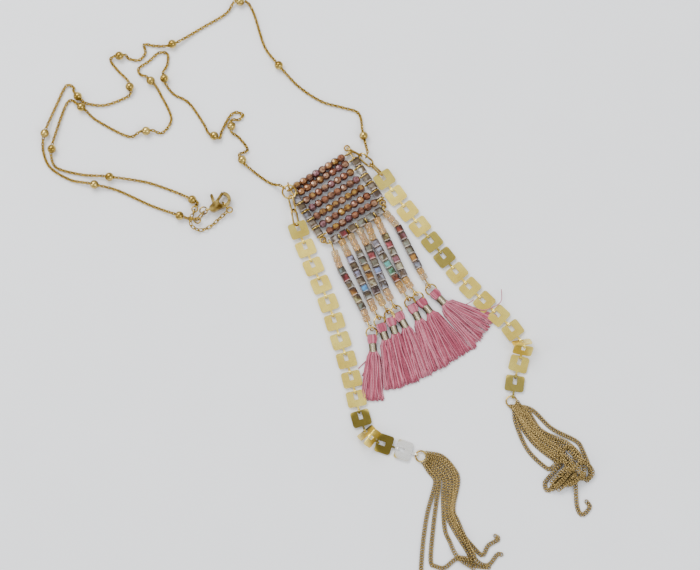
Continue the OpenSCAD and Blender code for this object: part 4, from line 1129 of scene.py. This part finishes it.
# %% [markdown]
# Where a strand ends, its wire is turned once more round the tassel's ring. That turn is one small
# hoop, rolled to the left or right as it fell. The rolls are listed and not drawn by chance, so
# that neighbours always differ.

# %% Loops on the tassel rings
HOOP_LEN, HOOP_W, HOOP_WIRE = 2.7, 2.3, 0.42
HOOP_PLACE = (-1.9, 0.2, 0.1)
HOOP_SLANT = 12
HOOP_ROLLS = [40, -38, 35, -42, 38, -36, 40]

loops = []
for k, roll in enumerate(HOOP_ROLLS):
    spot = tassel_origin(k) + on_tassel(k, HEAD_SLANT[k], *HOOP_PLACE)
    loops.append(facing(spot, down(HEAD_SLANT[k] + HOOP_SLANT), math.radians(roll)))
hoop = link(HOOP_LEN, HOOP_W, HOOP_WIRE, steps=18, sides=8)
new_piece("eye_loops", hoop, loops, gold_wire, "gold_wire")

# %% [markdown]
# A few threads have worked loose. Two run over the plates beside the widest tassel, and two lie on
# the floor beside the first one. They could be curves, but the bent tube of the tassels already
# has the right twist, so they are the same tube, a little thinner.

# %% Stray threads
STRAY_D = 0.36
STRAYS = [
    [(50.6, -10.3, 0.6), (54.5, -10.3, 2.1), (59, -8.2, 2.1), (60.4, -6.2, 1.9), (60.4, -2, 1.6)],
    [(46.3, -8, 0.8), (48, -7.2, 1.6), (49.4, -6.2, 1.9)],
    [(7.2, -30, 0.5), (5, -32, 0.3), (3.2, -33.8, 0.3)],
    [(6.8, -33.3, 0.5), (5.6, -35, 0.3), (4.8, -36.6, 0.3)],
]
ways = [smooth_way([LAYOUT + Vector(p) for p in points]) for points in STRAYS]
places = [bent(way, THREAD_RINGS) for way in ways]
thread, tones = tube(THREAD_RINGS, STRAY_D), thread_tones(len(places))
new_piece("stray_threads", thread, places, rose_thread, "rose_thread", tones=tones)

# %% [markdown]
# The plates are stamped from thin brass and left unplated. Their faces are a pale, greenish gold,
# dulled by scratches finer than a pixel, while a few are darker and the last on the left is painted
# white, a painted reflection of the light. The imported solids already have the slots and folded
# tabs, so they only need their metal. Each odd plate could have a material of its own, but a mask
# round its middle keeps them one.

# %% Plates
PLATE_DARK, PLATE_LIGHT = "d0ac3c", "ffec80"
SCRATCH_TONE = "7d6f3c"
# Cells of the scratches across the chain's box, and a line's half width in cells
SCRATCHES, SCRATCH_W = 900.0, 0.04
# Reach of a plate's own tone from its middle, and how sharply and strongly it takes it on
PLATE_REACH, PLATE_EDGE, PLATE_SHARE = 4.9, 12, 0.9
# Tone of each odd plate, counted from the panel; the white one is a painted reflection
ODD_PLATES = {
    "left_plates": {10: "5c4f20", 13: "5c4f20", 14: "ffffff"},
    "right_plates": {4: "a39245", 5: "8f8040", 14: "9c8c4a"},
}


def plate_finish():
    finish = Finish("plate_brass", Metallic=1.0)
    drift = finish.noise(110, 1)
    fine = finish.noise(1400, 4)
    brass = finish.blend(drift, rgb(PLATE_DARK), rgb(PLATE_LIGHT))
    for node, tones in ODD_PLATES.items():
        spots = centres(node, key=lambda p: -p.y)
        for plate, tone in tones.items():
            away = finish.far_from(spots[plate] * MM) / (PLATE_REACH * MM)
            mask = (1 - away**PLATE_EDGE).clamped()
            brass = finish.blend(mask * PLATE_SHARE, brass, rgb(tone))
    cells = finish.node("ShaderNodeTexVoronoi", {"feature": "DISTANCE_TO_EDGE"}, {"Scale": SCRATCHES})
    line = cells.below(SCRATCH_W)
    scratched = finish.blend(line * 0.35, brass, rgb(SCRATCH_TONE))
    finish.set(Base_Color=scratched, Roughness=fine * 0.2 + 0.22)
    finish.bump(fine * 0.6 + line * 0.4, 0.3, 0.03 * MM)
    return finish.material


plate_brass = plate_finish()
print("plates:", plate_brass.name, "with odd ones:", sum(map(len, ODD_PLATES.values())))

# %% [markdown]
# The nodes that stay as they were packed get their metal in the slots they already have. Copying
# their meshes into new pieces would look no different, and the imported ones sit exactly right.


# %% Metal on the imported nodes
def dress(material, *nodes):
    """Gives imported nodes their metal."""
    for name in nodes:
        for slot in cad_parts[name].material_slots:
            slot.material = material
    print(f"{material.name}: {len(nodes)} nodes")


dress(plate_brass, "left_plates", "right_plates")
strand_wires = [f"strand_{k}_wire" for k in range(1, len(STRAND_CHARTS) + 1)]
dress(gold_wire, "row_wires", "bar_wires", *strand_wires)
dress(gold_wire, "tassel_rings", "left_ring", "left_links", "right_links")
dress(gold_wire, "left_end_ring", "right_end_ring")
dress(gold_ball, "outer_balls", "inner_balls")
dress(clasp_gold, "clasp_body", "clasp_lever", "clasp_rings")

# %% [markdown]
# The floor is only there to catch the shadows. One flat colour would do, but paper is never quite
# even, so its finish is a pale sheet with the faintest drift.

# %% Floor finish
sheet = Finish("floor_sheet", Roughness=0.5)
sheet.set(Base_Color=sheet.blend(sheet.noise(40, 2), rgb("f7f8fa"), rgb("fcfdff")))
floor.data.materials.append(sheet.material)
print("floor finish:", sheet.material.name)
